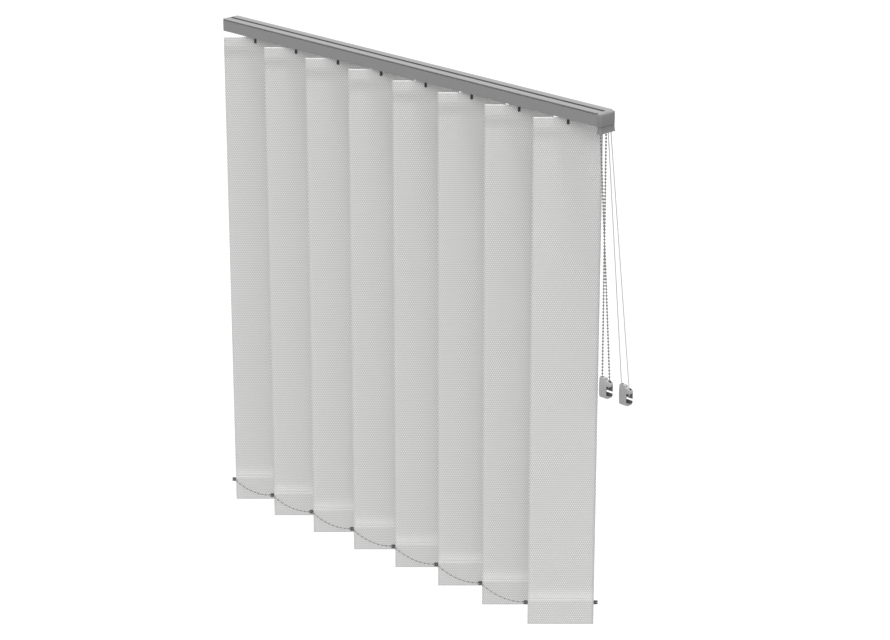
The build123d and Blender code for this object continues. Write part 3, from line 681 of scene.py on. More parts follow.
class Workshop:
    """Puts finished meshes into the scene as pieces of the blind."""

    def __init__(self, palette: Palette) -> None:
        """Builds every finish.

        Args:
            palette: The finishes to build.
        """
        effects = SharedEffects()
        names = palette.__dataclass_fields__
        self.materials = {name: getattr(palette, name).material(effects) for name in names}

    def piece(self, name: str, mesh: BMesh, finish: str, smooth: bool = True) -> Object:
        """Makes an object of a bmesh, and frees it.

        Args:
            name: The piece's name.
            mesh: The finished bmesh, in its place.
            finish: The palette's name of its finish.
            smooth: Whether its faces shade smoothly.

        Returns:
            The new object.
        """
        data = bpy.data.meshes.new(name)
        for face in mesh.faces:
            face.smooth = smooth
        mesh.to_mesh(data)
        mesh.free()
        thing = link(name, data)
        data.materials.append(self.materials[finish])
        LOG.info("%s: %d faces", name, len(data.polygons))
        return thing

    def dress(self, node: Object, finish: str) -> None:
        """Gives a node of the frame its finish.

        Args:
            node: The node's object.
            finish: The palette's name of its finish.
        """
        for slot in node.material_slots:
            slot.material = self.materials[finish]


@dataclass(frozen=True)
class Lamp:
    """A sun.

    Attributes:
        name: Its name.
        strength: Its strength.
        tilt: Its turn from straight above, in degrees.
        heading: The turn of its tilt about Z from -Y, in degrees.
        spread: Its width on the sky, in degrees.
    """

    name: str
    strength: float
    tilt: float
    heading: float
    spread: float


@dataclass
class Studio:
    """The camera, the light and the white floor.

    Attributes:
        focal_px: The focal length in pixels of a frame 890 wide.
        heading: The turn of the view about Z from +Y.
        dip: How far the view looks down.
        floor_glow: What the floor gives off on rays that show it.
        fill: The world's light from all sides.
        lamps: A key from straight above and a broad one from the room.
    """

    focal_px: float = 2736.65
    frame_px: float = 890.0
    sensor: float = 36.0
    sight: float = 60.0
    heading: float = math.radians(45.058)
    dip: float = math.radians(19.678)
    place: Colour = (3.6449, -3.5349, 1.2922)
    floor: float = -2.3
    floor_reach: float = 30.0
    floor_tone: Colour = (0.3, 0.3, 0.3)
    floor_glow: float = 0.52
    fill: float = 0.64
    lamps: tuple[Lamp, ...] = (Lamp("key", 3.5, 2.0, 30.0, 20.0), Lamp("front", 1.25, 60.0, 32.0, 45.0))

    def build(self) -> None:
        """Sets up the whole studio."""
        self.camera()
        for lamp in self.lamps:
            self.hang(lamp)
        self.surround()
        self.ground()

    def camera(self) -> None:
        """The camera, as the photograph was taken."""
        data = bpy.data.cameras.new("camera")
        data.sensor_width = self.sensor
        data.lens = self.focal_px * self.sensor / self.frame_px
        data.clip_end = self.sight
        camera = link("camera", data)
        camera.location = self.place
        camera.rotation_euler = (math.pi / 2 - self.dip, 0.0, self.heading)
        bpy.context.scene.camera = camera

    def hang(self, lamp: Lamp) -> None:
        """Adds one lamp.

        Args:
            lamp: What it is like.
        """
        data = bpy.data.lights.new(lamp.name, "SUN")
        data.energy = lamp.strength
        data.angle = math.radians(lamp.spread)
        link(lamp.name, data).rotation_euler = (math.radians(lamp.tilt), 0.0, math.radians(lamp.heading))

    def surround(self) -> None:
        """An even world that is white to the camera and in reflections."""
        world = bpy.data.worlds.new("surround")
        bpy.context.scene.world = world
        world.use_nodes = True
        wires = Wiring(world.node_tree)
        background = world.node_tree.nodes["Background"]
        background.inputs["Color"].default_value = WHITE
        wires.put(background.inputs["Strength"], wires.sums("MAXIMUM", wires.seen(), self.fill))

    def ground(self) -> None:
        """A white floor far below the hanging blind."""
        mesh = bmesh.new()
        lift = Matrix.Translation((0.0, 0.0, self.floor))
        bmesh.ops.create_grid(mesh, x_segments=1, y_segments=1, size=self.floor_reach, matrix=lift)
        data = bpy.data.meshes.new("floor")
        mesh.to_mesh(data)
        mesh.free()
        floor = link("floor", data)
        material = bpy.data.materials.new("white_floor")
        material.use_nodes = True
        material.node_tree.nodes.clear()
        wires = Wiring(material.node_tree)
        matt = wires.add("ShaderNodeBsdfDiffuse", Color=(*self.floor_tone, 1.0))
        shine = wires.sums("MULTIPLY", wires.seen(), self.floor_glow)
        glow = wires.add("ShaderNodeEmission", Color=WHITE, Strength=shine)
        both = wires.add("ShaderNodeAddShader")
        wires.put(both.inputs[0], matt.outputs[0])
        wires.put(both.inputs[1], glow.outputs[0])
        wires.add("ShaderNodeOutputMaterial", Surface=both.outputs[0])
        data.materials.append(material)


@dataclass
class VaneCloth:
    """One length of cloth, folded into a hem at the top and one at the bottom.

    Attributes:
        number: Which vane it is, from 1 at the free end.
        axis: The vane's turning line, as X and Y.
        top: The height of its top fold.
        bottom: The height of its bottom fold.
        seam: How far the sewn edge runs past a hem's hollow.
        lip: The height over which a hem closes.
        loose: The share of the height, from the top, that hangs free.
    """

    number: int
    axis: Span
    top: float
    bottom: float
    width: float = 0.127
    thickness: float = 0.00045
    upper_pocket: float = 0.0006
    lower_pocket: float = 0.0010
    upper_mouth: float = 0.02105
    lower_mouth: float = 0.0505
    seam: float = 0.0062
    lip: float = 0.0024
    columns: int = 18
    rows: int = 44
    fold_flats: int = 6
    ripple: float = 0.00028
    loose: Span = (0.03, 0.94)
    along_waves: float = 5.1
    across_waves: float = 38.0
    phase: float = 1.7

    def route(self) -> list[Span]:
        """The cloth's line from seam to seam, as (out of plane, height) points."""
        half = self.thickness / 2
        mouth, low_mouth = self.top - self.upper_mouth, self.bottom + self.lower_mouth
        line = self.hem(self.upper_pocket + half, mouth, self.top - half, -1.0)
        start, end = mouth - self.seam - 2 * half, low_mouth + self.seam + 2 * half
        line += [(0.0, start + (end - start) * row / self.rows) for row in range(self.rows + 1)]
        return line + self.hem(-self.lower_pocket - half, low_mouth, self.bottom + half, 1.0)

    def hem(self, out: float, mouth: float, turn: float, inward: float) -> list[Span]:
        """One hem's line, from its first seam round its fold to its last.

        Args:
            out: How far out of plane the hem's first side lies.
            mouth: The height at which the hollow starts.
            turn: The height of the middle of the cloth at the fold's far point.
            inward: The direction along Z from the fold to the rest of the vane.

        Returns:
            The hem's points.
        """
        side = math.copysign(self.thickness / 2, out)
        closed = [(side, mouth + inward * reach) for reach in (self.seam, 2 * self.lip, self.lip)]
        middle = turn + inward * abs(out)
        opened = [(out, mouth), (out, mouth - inward * self.lip), (out, middle + inward * self.lip)]
        first = closed + opened
        turns = [math.pi * step / self.fold_flats for step in range(self.fold_flats + 1)]
        fold = [(out * math.cos(t), middle - inward * abs(out) * math.sin(t)) for t in turns]
        return first + fold + [(-across, height) for across, height in reversed(first)]

    def build(self, shop: Workshop) -> Object:
        """Draws the line, pulls it out across the width and sets it to its turn.

        Args:
            shop: Where the piece is made.

        Returns:
            The cloth's object.
        """
        mesh = bmesh.new()
        run = mesh.verts.layers.float.new("run")
        verts = [mesh.verts.new((-self.width / 2, out, height)) for out, height in self.route()]
        length = 0.0
        for index, vert in enumerate(verts):
            if index:
                length += (vert.co - verts[index - 1].co).length
            vert[run] = length
        edges = [mesh.edges.new(pair) for pair in zip(verts, verts[1:])]
        step = Vector((self.width / self.columns, 0.0, 0.0))
        for _ in range(self.columns):
            pulled = bmesh.ops.extrude_edge_only(mesh, edges=edges)["geom"]
            bmesh.ops.translate(mesh, verts=only(pulled, BMVert), vec=step)
            edges = only(pulled, BMEdge)
        bmesh.ops.recalc_face_normals(mesh, faces=mesh.faces[:])
        self.lay_out(mesh, run)
        self.hang(mesh)
        turn_to_rest(mesh, self.axis)
        cloth = shop.piece(f"cloth_{self.number}", mesh, "cloth")
        body = cloth.modifiers.new("thickness", "SOLIDIFY")
        body.thickness = self.thickness
        body.offset = 0.0
        stand_in(cloth, f"vane_set_{self.number}", f"vane_{self.number}")
        return cloth

    def lay_out(self, mesh: BMesh, run: object) -> None:
        """The UV map in metres: across the width, and along the cloth.

        Args:
            mesh: The cloth's bmesh, before it is turned.
            run: The layer of each vertex's distance along the cloth.
        """
        layer = mesh.loops.layers.uv.new("cloth")
        for face in mesh.faces:
            for loop in face.loops:
                loop[layer].uv = (loop.vert.co.x, loop.vert[run])

    def hang(self, mesh: BMesh) -> None:
        """The slight waviness of hanging cloth, none at the stiff hems.

        Args:
            mesh: The cloth's bmesh, before it is turned.
        """
        start, end = self.loose
        for vert in mesh.verts:
            share = (self.top - vert.co.z) / (self.top - self.bottom)
            if start < share < end:
                swell = math.sin(math.pi * (share - start) / (end - start))
                wave = math.sin(self.along_waves * share + self.phase * self.number)
                wave *= math.cos(self.across_waves * vert.co.x + self.number)
                vert.co.y += self.ripple * swell * wave


@dataclass
class BottomWeight:
    """The flat weight in a vane's lower hem, with a rounded, slotted chain clip at each side.

    Attributes:
        number: Which vane it is in.
        axis: The vane's turning line, as X and Y.
        bottom: The height of the vane's lower fold.
        pin_height: The height of the clips' pins.
        clear: How far above the fold the plate starts.
        root_share: The height of a clip's root, as a share of the clip's.
        shoulder: Where a clip's straight top ends, as a share of its reach.
        nose: A point of its slope, as shares of its reach and of half its height.
    """

    number: int
    axis: Span
    bottom: float
    pin_height: float
    width: float = 0.124
    thickness: float = 0.0018
    clear: float = 0.00055
    plate_ease: float = 0.0003
    root: float = 0.0038
    root_share: float = 0.9
    root_ease: float = 0.0002
    clip_from: float = 0.0638
    clip_height: float = 0.0078
    clip_reach: float = 0.0084
    clip_thickness: float = 0.003
    clip_slot: float = 0.0028
    slot_from: float = 0.00215
    shoulder: float = 0.62
    nose: Span = (0.9, 0.74)
    pin_at: float = 0.00445
    pin_radius: float = 0.0008
    pin_grip: float = 0.0004
    easing: float = 0.0004

    def build(self, shop: Workshop) -> Object:
        """Makes the plate and both clips, and sets them to the vane's turn.

        Args:
            shop: Where the piece is made.

        Returns:
            The weight's object.
        """
        mesh = bmesh.new()
        top = self.pin_height + self.clip_height / 2
        low = self.bottom + self.clear
        self.slab(mesh, (0.0, (top + low) / 2), (self.width, self.thickness, top - low), self.plate_ease)
        for side in (-1, 1):
            middle = side * (self.clip_from - self.root / 2 + self.slot_from / 4)
            size = (self.root + self.slot_from / 2, self.thickness, self.clip_height * self.root_share)
            self.slab(mesh, (middle, self.pin_height), size, self.root_ease)
            self.clip(mesh, side)
        turn_to_rest(mesh, self.axis)
        weight = shop.piece(f"weight_plate_{self.number}", mesh, "plate", smooth=False)
        stand_in(weight, f"vane_set_{self.number}", f"bottom_weight_{self.number}")
        return weight

    def slab(self, mesh: BMesh, middle: Span, size: Colour, easing: float) -> None:
        """A flat bar with eased edges.

        Args:
            mesh: The bmesh that it goes into.
            middle: Its middle, as X and Z.
            size: Its size along X, Y and Z.
            easing: How far its edges are eased.
        """
        place = Matrix.Translation((middle[0], 0.0, middle[1])) @ Matrix.Diagonal((*size, 1.0))
        verts = bmesh.ops.create_cube(mesh, size=1.0, matrix=place)["verts"]
        ease(mesh, list({edge for vert in verts for edge in vert.link_edges}), easing, 1)

    def clip(self, mesh: BMesh, side: int) -> None:
        """A rounded clip whose slot holds the chain's ring on a pin.

        Args:
            mesh: The bmesh that it goes into.
            side: 1 or -1, the side of the vane that it stands out at.
        """
        half, gap, reach = self.clip_height / 2, self.clip_slot / 2, self.clip_reach
        jaw = [
            (0.0, half), (self.shoulder * reach, half), (self.nose[0] * reach, self.nose[1] * half),
            (reach, gap), (self.slot_from, gap),
        ]
        outline = jaw + [(x, -z) for x, z in reversed(jaw)]
        back = self.clip_thickness / 2
        verts = [mesh.verts.new((side * (self.clip_from + x), back, self.pin_height + z)) for x, z in outline]
        pulled = bmesh.ops.extrude_face_region(mesh, geom=[mesh.faces.new(verts)])["geom"]
        moved = only(pulled, BMVert)
        bmesh.ops.translate(mesh, verts=moved, vec=(0.0, -self.clip_thickness, 0.0))
        shell = list({face for vert in verts + moved for face in vert.link_faces})
        bmesh.ops.recalc_face_normals(mesh, faces=shell)
        ease(mesh, list({edge for face in shell for edge in face.edges}), self.easing, 2)
        place = Matrix.Translation((side * (self.clip_from + self.pin_at), 0.0, self.pin_height))
        pin(mesh, self.pin_radius, self.clip_slot + self.pin_grip, place, 12)


@dataclass
class HookWeight:
    """A moulded weight that a hanging loop runs round, open at its lower right over a slotted back wall.

    Lengths are measured from the middle of its top, with X towards the low shoulder.

    Attributes:
        name: The piece's name.
        node: The node that it stands for.
        tall: The length of its high part.
        step: How far its shoulder lies below its top.
        end: Its thickness at the top and the bottom.
        drop: How far below its top the boss's middle is.
        past: How far cuts run past the outside.
        slack: How far the mouth and the slit stay inside the hollow.
        lintel: How far below the hollow's top the mouth starts.
    """

    name: str
    node: str
    tall: float = 0.0140
    step: float = 0.0050
    end: float = 0.0074
    corners: tuple[float, ...] = (0.0012, 0.0018, 0.0012, 0.0055, 0.0085, 0.0030)
    slices: int = 10
    rim_angle: float = math.radians(60.0)
    easing: float = 0.0008
    drop: float = 0.0125
    boss: float = 0.0067
    channel: float = 0.0054
    hollow_x: float = -0.0040
    hollow_y: Span = (-0.0036, 0.0033)
    hollow_z: Span = (-0.0335, -0.0140)
    mouth_x: float = 0.0048
    slit: Span = (-0.0290, -0.0248)
    past: float = 0.0020
    slack: float = 0.0002
    lintel: float = 0.0006
    grip: float = 0.0008

    def build(self, shop: Workshop) -> Object:
        """Makes the solid, carves its channel, hollow and slit, and sets it in its place.

        Args:
            shop: Where the piece is made.

        Returns:
            The weight's object.
        """
        low, high = (Vector(corner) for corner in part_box(self.node))
        half = (high - low) / 2
        weight = shop.piece(self.name, self.solid(half), "weight")
        # The faces that the tools leave, the boss's too, take a darker grey: painted shade added to the real
        # shade of the hollow.
        weight.data.materials.append(shop.materials["weight_inside"])
        carve(weight, self.tools(half))
        weight.data.transform(Matrix.Translation(((low.x + high.x) / 2, (low.y + high.y) / 2, high.z)))
        stand_in(weight, "rail", self.node)
        return weight

    def solid(self, half: Vector) -> BMesh:
        """The outer form: a stepped outline, rounded, pulled out and swelled at its middle.

        Args:
            half: Half of the weight's size along each axis.

        Returns:
            The form's bmesh.
        """
        height = 2 * half.z
        inner = self.tall - half.x
        outline = [
            (-half.x, 0.0), (inner, 0.0), (inner, -self.step),
            (half.x, -self.step), (half.x, -height), (-half.x, -height),
        ]
        mesh = bmesh.new()
        verts = [mesh.verts.new((x, -half.y, z)) for x, z in outline]
        mesh.faces.new(verts)
        for vert, radius in zip(verts, self.corners):
            ease(mesh, [vert], radius, 6, affect="VERTICES")
        pulled = bmesh.ops.extrude_face_region(mesh, geom=mesh.faces[:])["geom"]
        bmesh.ops.translate(mesh, verts=only(pulled, BMVert), vec=(0.0, 2 * half.y, 0.0))
        for level in range(1, self.slices):
            cut = (0.0, 0.0, -height * level / self.slices)
            bmesh.ops.bisect_plane(
                mesh, geom=everything(mesh), dist=CUT_GRIP, plane_co=cut, plane_no=(0, 0, 1)
            )
        for vert in mesh.verts:
            share = -vert.co.z / height
            vert.co.y *= (self.end + (2 * half.y - self.end) * 4 * share * (1 - share)) / (2 * half.y)
        bmesh.ops.recalc_face_normals(mesh, faces=mesh.faces[:])
        rim = [edge for edge in mesh.edges if edge.calc_face_angle() > self.rim_angle]
        ease(mesh, rim, self.easing, 3, clamp=True)
        return mesh

    def tools(self, half: Vector) -> list[Tool]:
        """The shapes that carve the hollow, its mouth, the slit, the boss and the loop's channel.

        Args:
            half: Half of the weight's size along each axis.

        Returns:
            Each step and its shape, in order.
        """
        out, reach = half.x + self.past, self.boss + self.channel
        deep, lid = self.hollow_z
        mouth_z = (deep + self.slack, lid - self.lintel)
        boss = bmesh.new()
        turn = Matrix.Translation((0.0, 0.0, -self.drop)) @ Matrix.Rotation(math.pi / 2, 4, "X")
        pin(boss, self.boss, 2 * self.hollow_y[1] + self.grip, turn, 32)
        wide = (-self.channel / 2, self.channel / 2)
        upright = (-self.drop, self.past)
        return [
            (Step.CUT, bar((self.hollow_x, out), self.hollow_y, self.hollow_z)),
            (Step.CUT, bar((self.mouth_x, out), (-2 * half.y, 0.0), mouth_z)),
            (Step.CUT, bar((self.hollow_x + self.slack, out), (0.0, 2 * half.y), self.slit)),
            (Step.JOIN, boss),
            (Step.CUT, self.turn_channel()),
            (Step.CUT, bar((-reach, -self.boss), wide, upright)),
            (Step.CUT, bar((self.boss, reach), wide, upright)),
        ]

    def turn_channel(self) -> BMesh:
        """The half round channel under the boss."""
        mesh = bmesh.new()
        reach, side = self.boss + self.channel, self.channel / 2
        ends = ((self.boss, -side), (reach, -side), (reach, side), (self.boss, side))
        face = mesh.faces.new([mesh.verts.new((x, y, -self.drop)) for x, y in ends])
        geom = [face, *face.edges, *face.verts]
        bmesh.ops.spin(mesh, geom=geom, cent=(0, 0, -self.drop), axis=(0, 1, 0), angle=math.pi, steps=16)
        bmesh.ops.recalc_face_normals(mesh, faces=mesh.faces[:])
        return mesh


@dataclass
class ControlHousing:
    """The moulded end over the controls: a rounded hood, with its own legs reaching into the rail.

    Attributes:
        node: The node that it stands for.
        length: How far the hood stands out from the rail's end.
        crown: The radius of its top edges.
        throat: The size of the way down, along X and Y.
    """

    node: str = "control_housing"
    length: float = 0.0100
    corner: float = 0.0044
    crown: float = 0.0042
    easing: float = 0.0004
    wall: float = 0.0014
    throat: Span = (0.0058, 0.0362)
    past: float = 0.001

    def build(self, shop: Workshop, nodes: dict[str, Object]) -> Object:
        """Makes the hood, hollows it and sets the legs against it.

        Args:
            shop: Where the piece is made.
            nodes: The frame's nodes.

        Returns:
            The housing's object.
        """
        low, high = (Vector(corner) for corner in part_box(self.node))
        joint = high.x - self.length
        hood = shop.piece("cap_right", self.hood(joint, low, high), "end")
        carve(hood, self.tools(joint, low, high))
        mesh = bmesh.new()
        mesh.from_mesh(nodes[self.node].data)
        bmesh.ops.remove_doubles(mesh, verts=mesh.verts[:], dist=WELD)
        cut = bmesh.ops.bisect_plane(
            mesh, geom=everything(mesh), dist=CUT_GRIP, plane_co=(joint, 0, 0), plane_no=(1, 0, 0),
            clear_outer=True,
        )["geom_cut"]
        bmesh.ops.holes_fill(mesh, edges=only(cut, BMEdge), sides=0)
        for face in mesh.faces:
            face.smooth = False
            face.material_index = 0
        mesh.from_mesh(hood.data)
        mesh.to_mesh(hood.data)
        mesh.free()
        stand_in(hood, "rail", self.node)
        return hood

    def hood(self, joint: float, low: Vector, high: Vector) -> BMesh:
        """The outer block with its round corners and its rounded top.

        Args:
            joint: Where the rail ends.
            low: The node's lowest corner.
            high: The node's highest corner.

        Returns:
            The block's bmesh.
        """
        mesh = bar((joint, high.x), (low.y, high.y), (low.z, high.z))
        upright = []
        for edge in mesh.edges:
            one, other = (vert.co for vert in edge.verts)
            if min(one.x, other.x) > high.x - TOUCH and abs(one.z - other.z) > TOUCH:
                upright.append(edge)
        ease(mesh, upright, self.corner, 7)
        for height, offset, segments in ((high.z, self.crown, 6), (low.z, self.easing, 2)):
            around = [
                edge for edge in mesh.edges
                if all(abs(vert.co.z - height) < TOUCH for vert in edge.verts)
                and any(vert.co.x > joint + TOUCH for vert in edge.verts)
            ]
            ease(mesh, around, offset, segments)
        return mesh

    def tools(self, joint: float, low: Vector, high: Vector) -> list[Tool]:
        """The hollow inside and the way down through the floor.

        Args:
            joint: Where the rail ends.
            low: The node's lowest corner.
            high: The node's highest corner.

        Returns:
            Each step and its shape.
        """
        wall, past = self.wall, self.past
        half_x, half_y = self.throat[0] / 2, self.throat[1] / 2
        inside = ((joint - past, high.x - wall), (low.y + wall, high.y - wall), (low.z + wall, high.z - wall))
        throat = ((STRAND_X - half_x, STRAND_X + half_x), (-half_y, half_y), (low.z - past, low.z + 2 * wall))
        return [(Step.CUT, bar(*inside)), (Step.CUT, bar(*throat))]


@dataclass
class EasedCopy:
    """A rigid node's own shape with its curves shaded as curves and its hard edges eased.

    Attributes:
        node: The node that it copies and stands for.
        name: The piece's name.
        finish: The palette's name of its finish.
        slot: The record's slot of its finish. It is not used.
        body: The body that it rides on.
        ease: How wide the eased edges are.
        flat: The angle under which two faces are one.
        sharp: The angle past which an edge is hard.
    """

    node: str
    name: str
    finish: str
    slot: Slot
    body: str
    ease: float = 0.00018
    flat: float = math.radians(0.4)
    sharp: float = math.radians(33.0)

    def build(self, shop: Workshop, nodes: dict[str, Object]) -> Object:
        """Copies the node's mesh, joins its triangles and eases its edges.

        Args:
            shop: Where the piece is made.
            nodes: The frame's nodes.

        Returns:
            The copy's object.
        """
        mesh = bmesh.new()
        mesh.from_mesh(nodes[self.node].data)
        bmesh.ops.remove_doubles(mesh, verts=mesh.verts[:], dist=WELD)
        bmesh.ops.dissolve_limit(
            mesh, angle_limit=self.flat, use_dissolve_boundaries=False, verts=mesh.verts[:],
            edges=mesh.edges[:], delimit=set(),
        )
        for edge in mesh.edges:
            edge.smooth = edge.is_manifold and edge.calc_face_angle() < self.sharp
        copy = shop.piece(self.name, mesh, self.finish)
        for face in copy.data.polygons:
            face.material_index = 0
        rounding = copy.modifiers.new("eased edges", "BEVEL")
        rounding.width = self.ease
        rounding.segments = 2
        rounding.limit_method = "ANGLE"
        rounding.angle_limit = self.sharp
        rounding.use_clamp_overlap = True
        stand_in(copy, self.body, self.node)
        return copy


@dataclass
class BeadString:
    """Beads on a thin line.

    Attributes:
        bead: The beads' radius.
        link: The line's radius.
    """

    bead: float
    link: float

    def add(self, mesh: BMesh, middles: list[Vector]) -> None:
        """Puts a bead at each middle.

        Args:
            mesh: The bmesh that they go into.
            middles: The beads' middles.
        """
        for middle in middles:
            place = Matrix.Translation(middle)
            bmesh.ops.create_icosphere(mesh, subdivisions=1, radius=self.bead, matrix=place)

    def join(self, mesh: BMesh, points: list[Vector]) -> None:
        """A thin line from each point to the next.

        Args:
            mesh: The bmesh that it goes into.
            points: The points in order.
        """
        for start, end in zip(points, points[1:]):
            run = end - start
            turn = Vector((0.0, 0.0, 1.0)).rotation_difference(run).to_matrix().to_4x4()
            pin(mesh, self.link, run.length, Matrix.Translation((start + end) / 2) @ turn, 6)


@dataclass
class BottomChain:
    """The small bead chain along one edge of the vanes, sagging between their clips.

    Attributes:
        name: front or back.
        places: The middle of each vane's ring.
        sag: How far each span hangs.
        ring_wire: The radius of the rings' and the line's wire.
    """

    name: str
    places: list[Vector]
    sag: float = 0.0105
    beads: int = 10
    bead: float = 0.00165
    ring_radius: float = 0.0017
    ring_wire: float = 0.00045

    def point(self, start: Vector, end: Vector, share: float) -> Vector:
        """A point of the hanging line between two rings.

        Args:
            start: The first ring's middle.
            end: The second ring's middle.
            share: How far along the line it is.

        Returns:
            The point.
        """
        reach = Vector((self.ring_radius, 0.0, 0.0))
        level = (start + reach).lerp(end - reach, share)
        return level - Vector((0.0, 0.0, 4.0 * self.sag * share * (1.0 - share)))

    def build(self, shop: Workshop) -> Object:
        """Makes the rings and every span, riding with the last vane's ring.

        Args:
            shop: Where the piece is made.

        Returns:
            The chain's object.
        """
        mesh = bmesh.new()
        string = BeadString(bead=self.bead, link=self.ring_wire)
        for place in self.places:
            self.ring(mesh, place)
        for start, end in zip(self.places, self.places[1:]):
            middles = [self.point(start, end, (index + 0.5) / self.beads) for index in range(self.beads)]
            string.add(mesh, middles)
            string.join(mesh, [self.point(start, end, 0.0), *middles, self.point(start, end, 1.0)])
        chain = shop.piece(f"small_chain_{self.name}", mesh, "small_bead")
        stand_in(chain, f"{self.name}_chain", f"bottom_chain_{self.name}")
        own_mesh(chain)
        return chain

    def ring(self, mesh: BMesh, place: Vector) -> None:
        """A round wire ring about a clip's pin.

        Args:
            mesh: The bmesh that it goes into.
            place: The ring's middle.
        """
        side = Matrix.Translation(place + Vector((self.ring_radius, 0.0, 0.0)))
        start = side @ Matrix.Rotation(math.pi / 2, 4, "X")
        wire = bmesh.ops.create_circle(mesh, segments=6, radius=self.ring_wire, matrix=start)["verts"]
        edges = list({edge for vert in wire for edge in vert.link_edges})
        bmesh.ops.spin(
            mesh, geom=wire + edges, cent=place, axis=(0, 0, 1), angle=2 * math.pi, steps=12, use_merge=True
        )


def curve_of(name: str, points: tuple[Colour, ...]) -> Object:
    """A smooth open curve that follows given points.

    Args:
        name: The object's name.
        points: The route's points, in metres.

    Returns:
        The curve's object, with no thickness yet.
    """
    data = bpy.data.curves.new(name, "CURVE")
    data.dimensions = "3D"
    data.resolution_u = 16
    spline = data.splines.new("NURBS")
    spline.points.add(len(points) - 1)
    for target, point in zip(spline.points, points):
        target.co = (*point, 1.0)
    spline.order_u = 3
    spline.use_endpoint_u = True
    return link(name, data)


@dataclass
class DrawCord:
    """The draw cord's hanging loop.

    Attributes:
        radius: The cord's radius.
        length: The loop's length from the guide and back to it. It is not used.
        route: The points of part's own route, with one near each corner of the long runs.
    """

    radius: float = 0.0009
    length: float = 1.062
    route: tuple[Colour, ...] = (
        (STRAND_X, 0.00625, -0.0250),
        (STRAND_X, 0.00625, -0.0385),
        (0.51041, 0.00719, -0.0533),
        (0.52857, 0.03755, -0.5336),
        (0.52905, 0.03835, -0.5464),
        (0.54785, 0.03835, -0.5464),
        (0.54690, 0.03772, -0.5336),
        (0.51096, 0.01399, -0.0533),
        (STRAND_X, 0.01325, -0.0385),
        (STRAND_X, 0.01325, -0.0250),
    )

    def build(self, shop: Workshop, weight: Object) -> Object:
        """Args:
            shop: Where the piece is made.
            weight: The weight on its loop. It is not used.

        Returns:
            The cord's object.
        """
        cord = curve_of("draw_cord", self.route)
        cord.data.bevel_depth = self.radius
        cord.data.bevel_resolution = 3
        cord.data.materials.append(shop.materials["cord"])
        LOG.info("draw_cord: %d points", len(self.route))
        stand_in(cord, "rail", "draw_cord_loop")
        return cord


@dataclass
class ControlChain:
    """The bead chain over the sprocket and round its weight.

    Attributes:
        bead: The beads' radius.
        link: The line's radius.
        pitch: The distance from bead to bead.
        length: The whole loop's length. It is not used.
        route: The points of its line, from the sprocket's front and back to it.
    """

    bead: float = 0.00225
    link: float = 0.0006
    pitch: float = 0.00635
    length: float = 1.067
    route: tuple[Colour, ...] = (
        (STRAND_X, -0.015585, -0.0110),
        (STRAND_X, -0.015585, -0.0250),
        (0.52888, 0.00218, -0.4980),
        (0.52965, 0.00290, -0.5274),
        (0.51085, 0.00290, -0.5274),
        (0.51081, 0.00282, -0.4980),
        (STRAND_X, 0.000585, -0.0400),
        (STRAND_X, 0.000585, -0.0044),
        (STRAND_X, -0.015585, -0.0044),
        (STRAND_X, -0.015585, -0.0100),
    )

    def line(self) -> list[Vector]:
        """Points along the route's smooth curve, read back from the curve itself."""
        guide = curve_of("chain_route", self.route)
        graph = bpy.context.evaluated_depsgraph_get()
        flat = bpy.data.meshes.new_from_object(guide.evaluated_get(graph))
        points = [vert.co.copy() for vert in flat.vertices]
        bpy.data.objects.remove(guide)
        return points

    def spaced(self, points: list[Vector]) -> list[Vector]:
        """Bead middles at even distances.

        Args:
            points: The line that the beads follow.

        Returns:
            The beads' middles, the last one a pitch short of the first.
        """
        lengths = [0.0]
        for start, end in zip(points, points[1:]):
            lengths.append(lengths[-1] + (end - start).length)
        count = round(lengths[-1] / self.pitch)
        middles = []
        index = 1
        for bead in range(count):
            wanted = lengths[-1] * (bead + 0.5) / count
            while lengths[index] < wanted:
                index += 1
            share = (wanted - lengths[index - 1]) / (lengths[index] - lengths[index - 1])
            middles.append(points[index - 1].lerp(points[index], share))
        return middles

    def build(self, shop: Workshop, weight: Object) -> Object:
        """Args:
            shop: Where the piece is made.
            weight: The weight on its loop. It is not used.

        Returns:
            The chain's object.
        """
        points = self.line()
        middles = self.spaced(points)
        mesh = bmesh.new()
        string = BeadString(bead=self.bead, link=self.link)
        string.add(mesh, middles)
        string.join(mesh, middles)
        chain = shop.piece("control_chain", mesh, "bead")
        stand_in(chain, "rail", "ball_chain")
        return chain


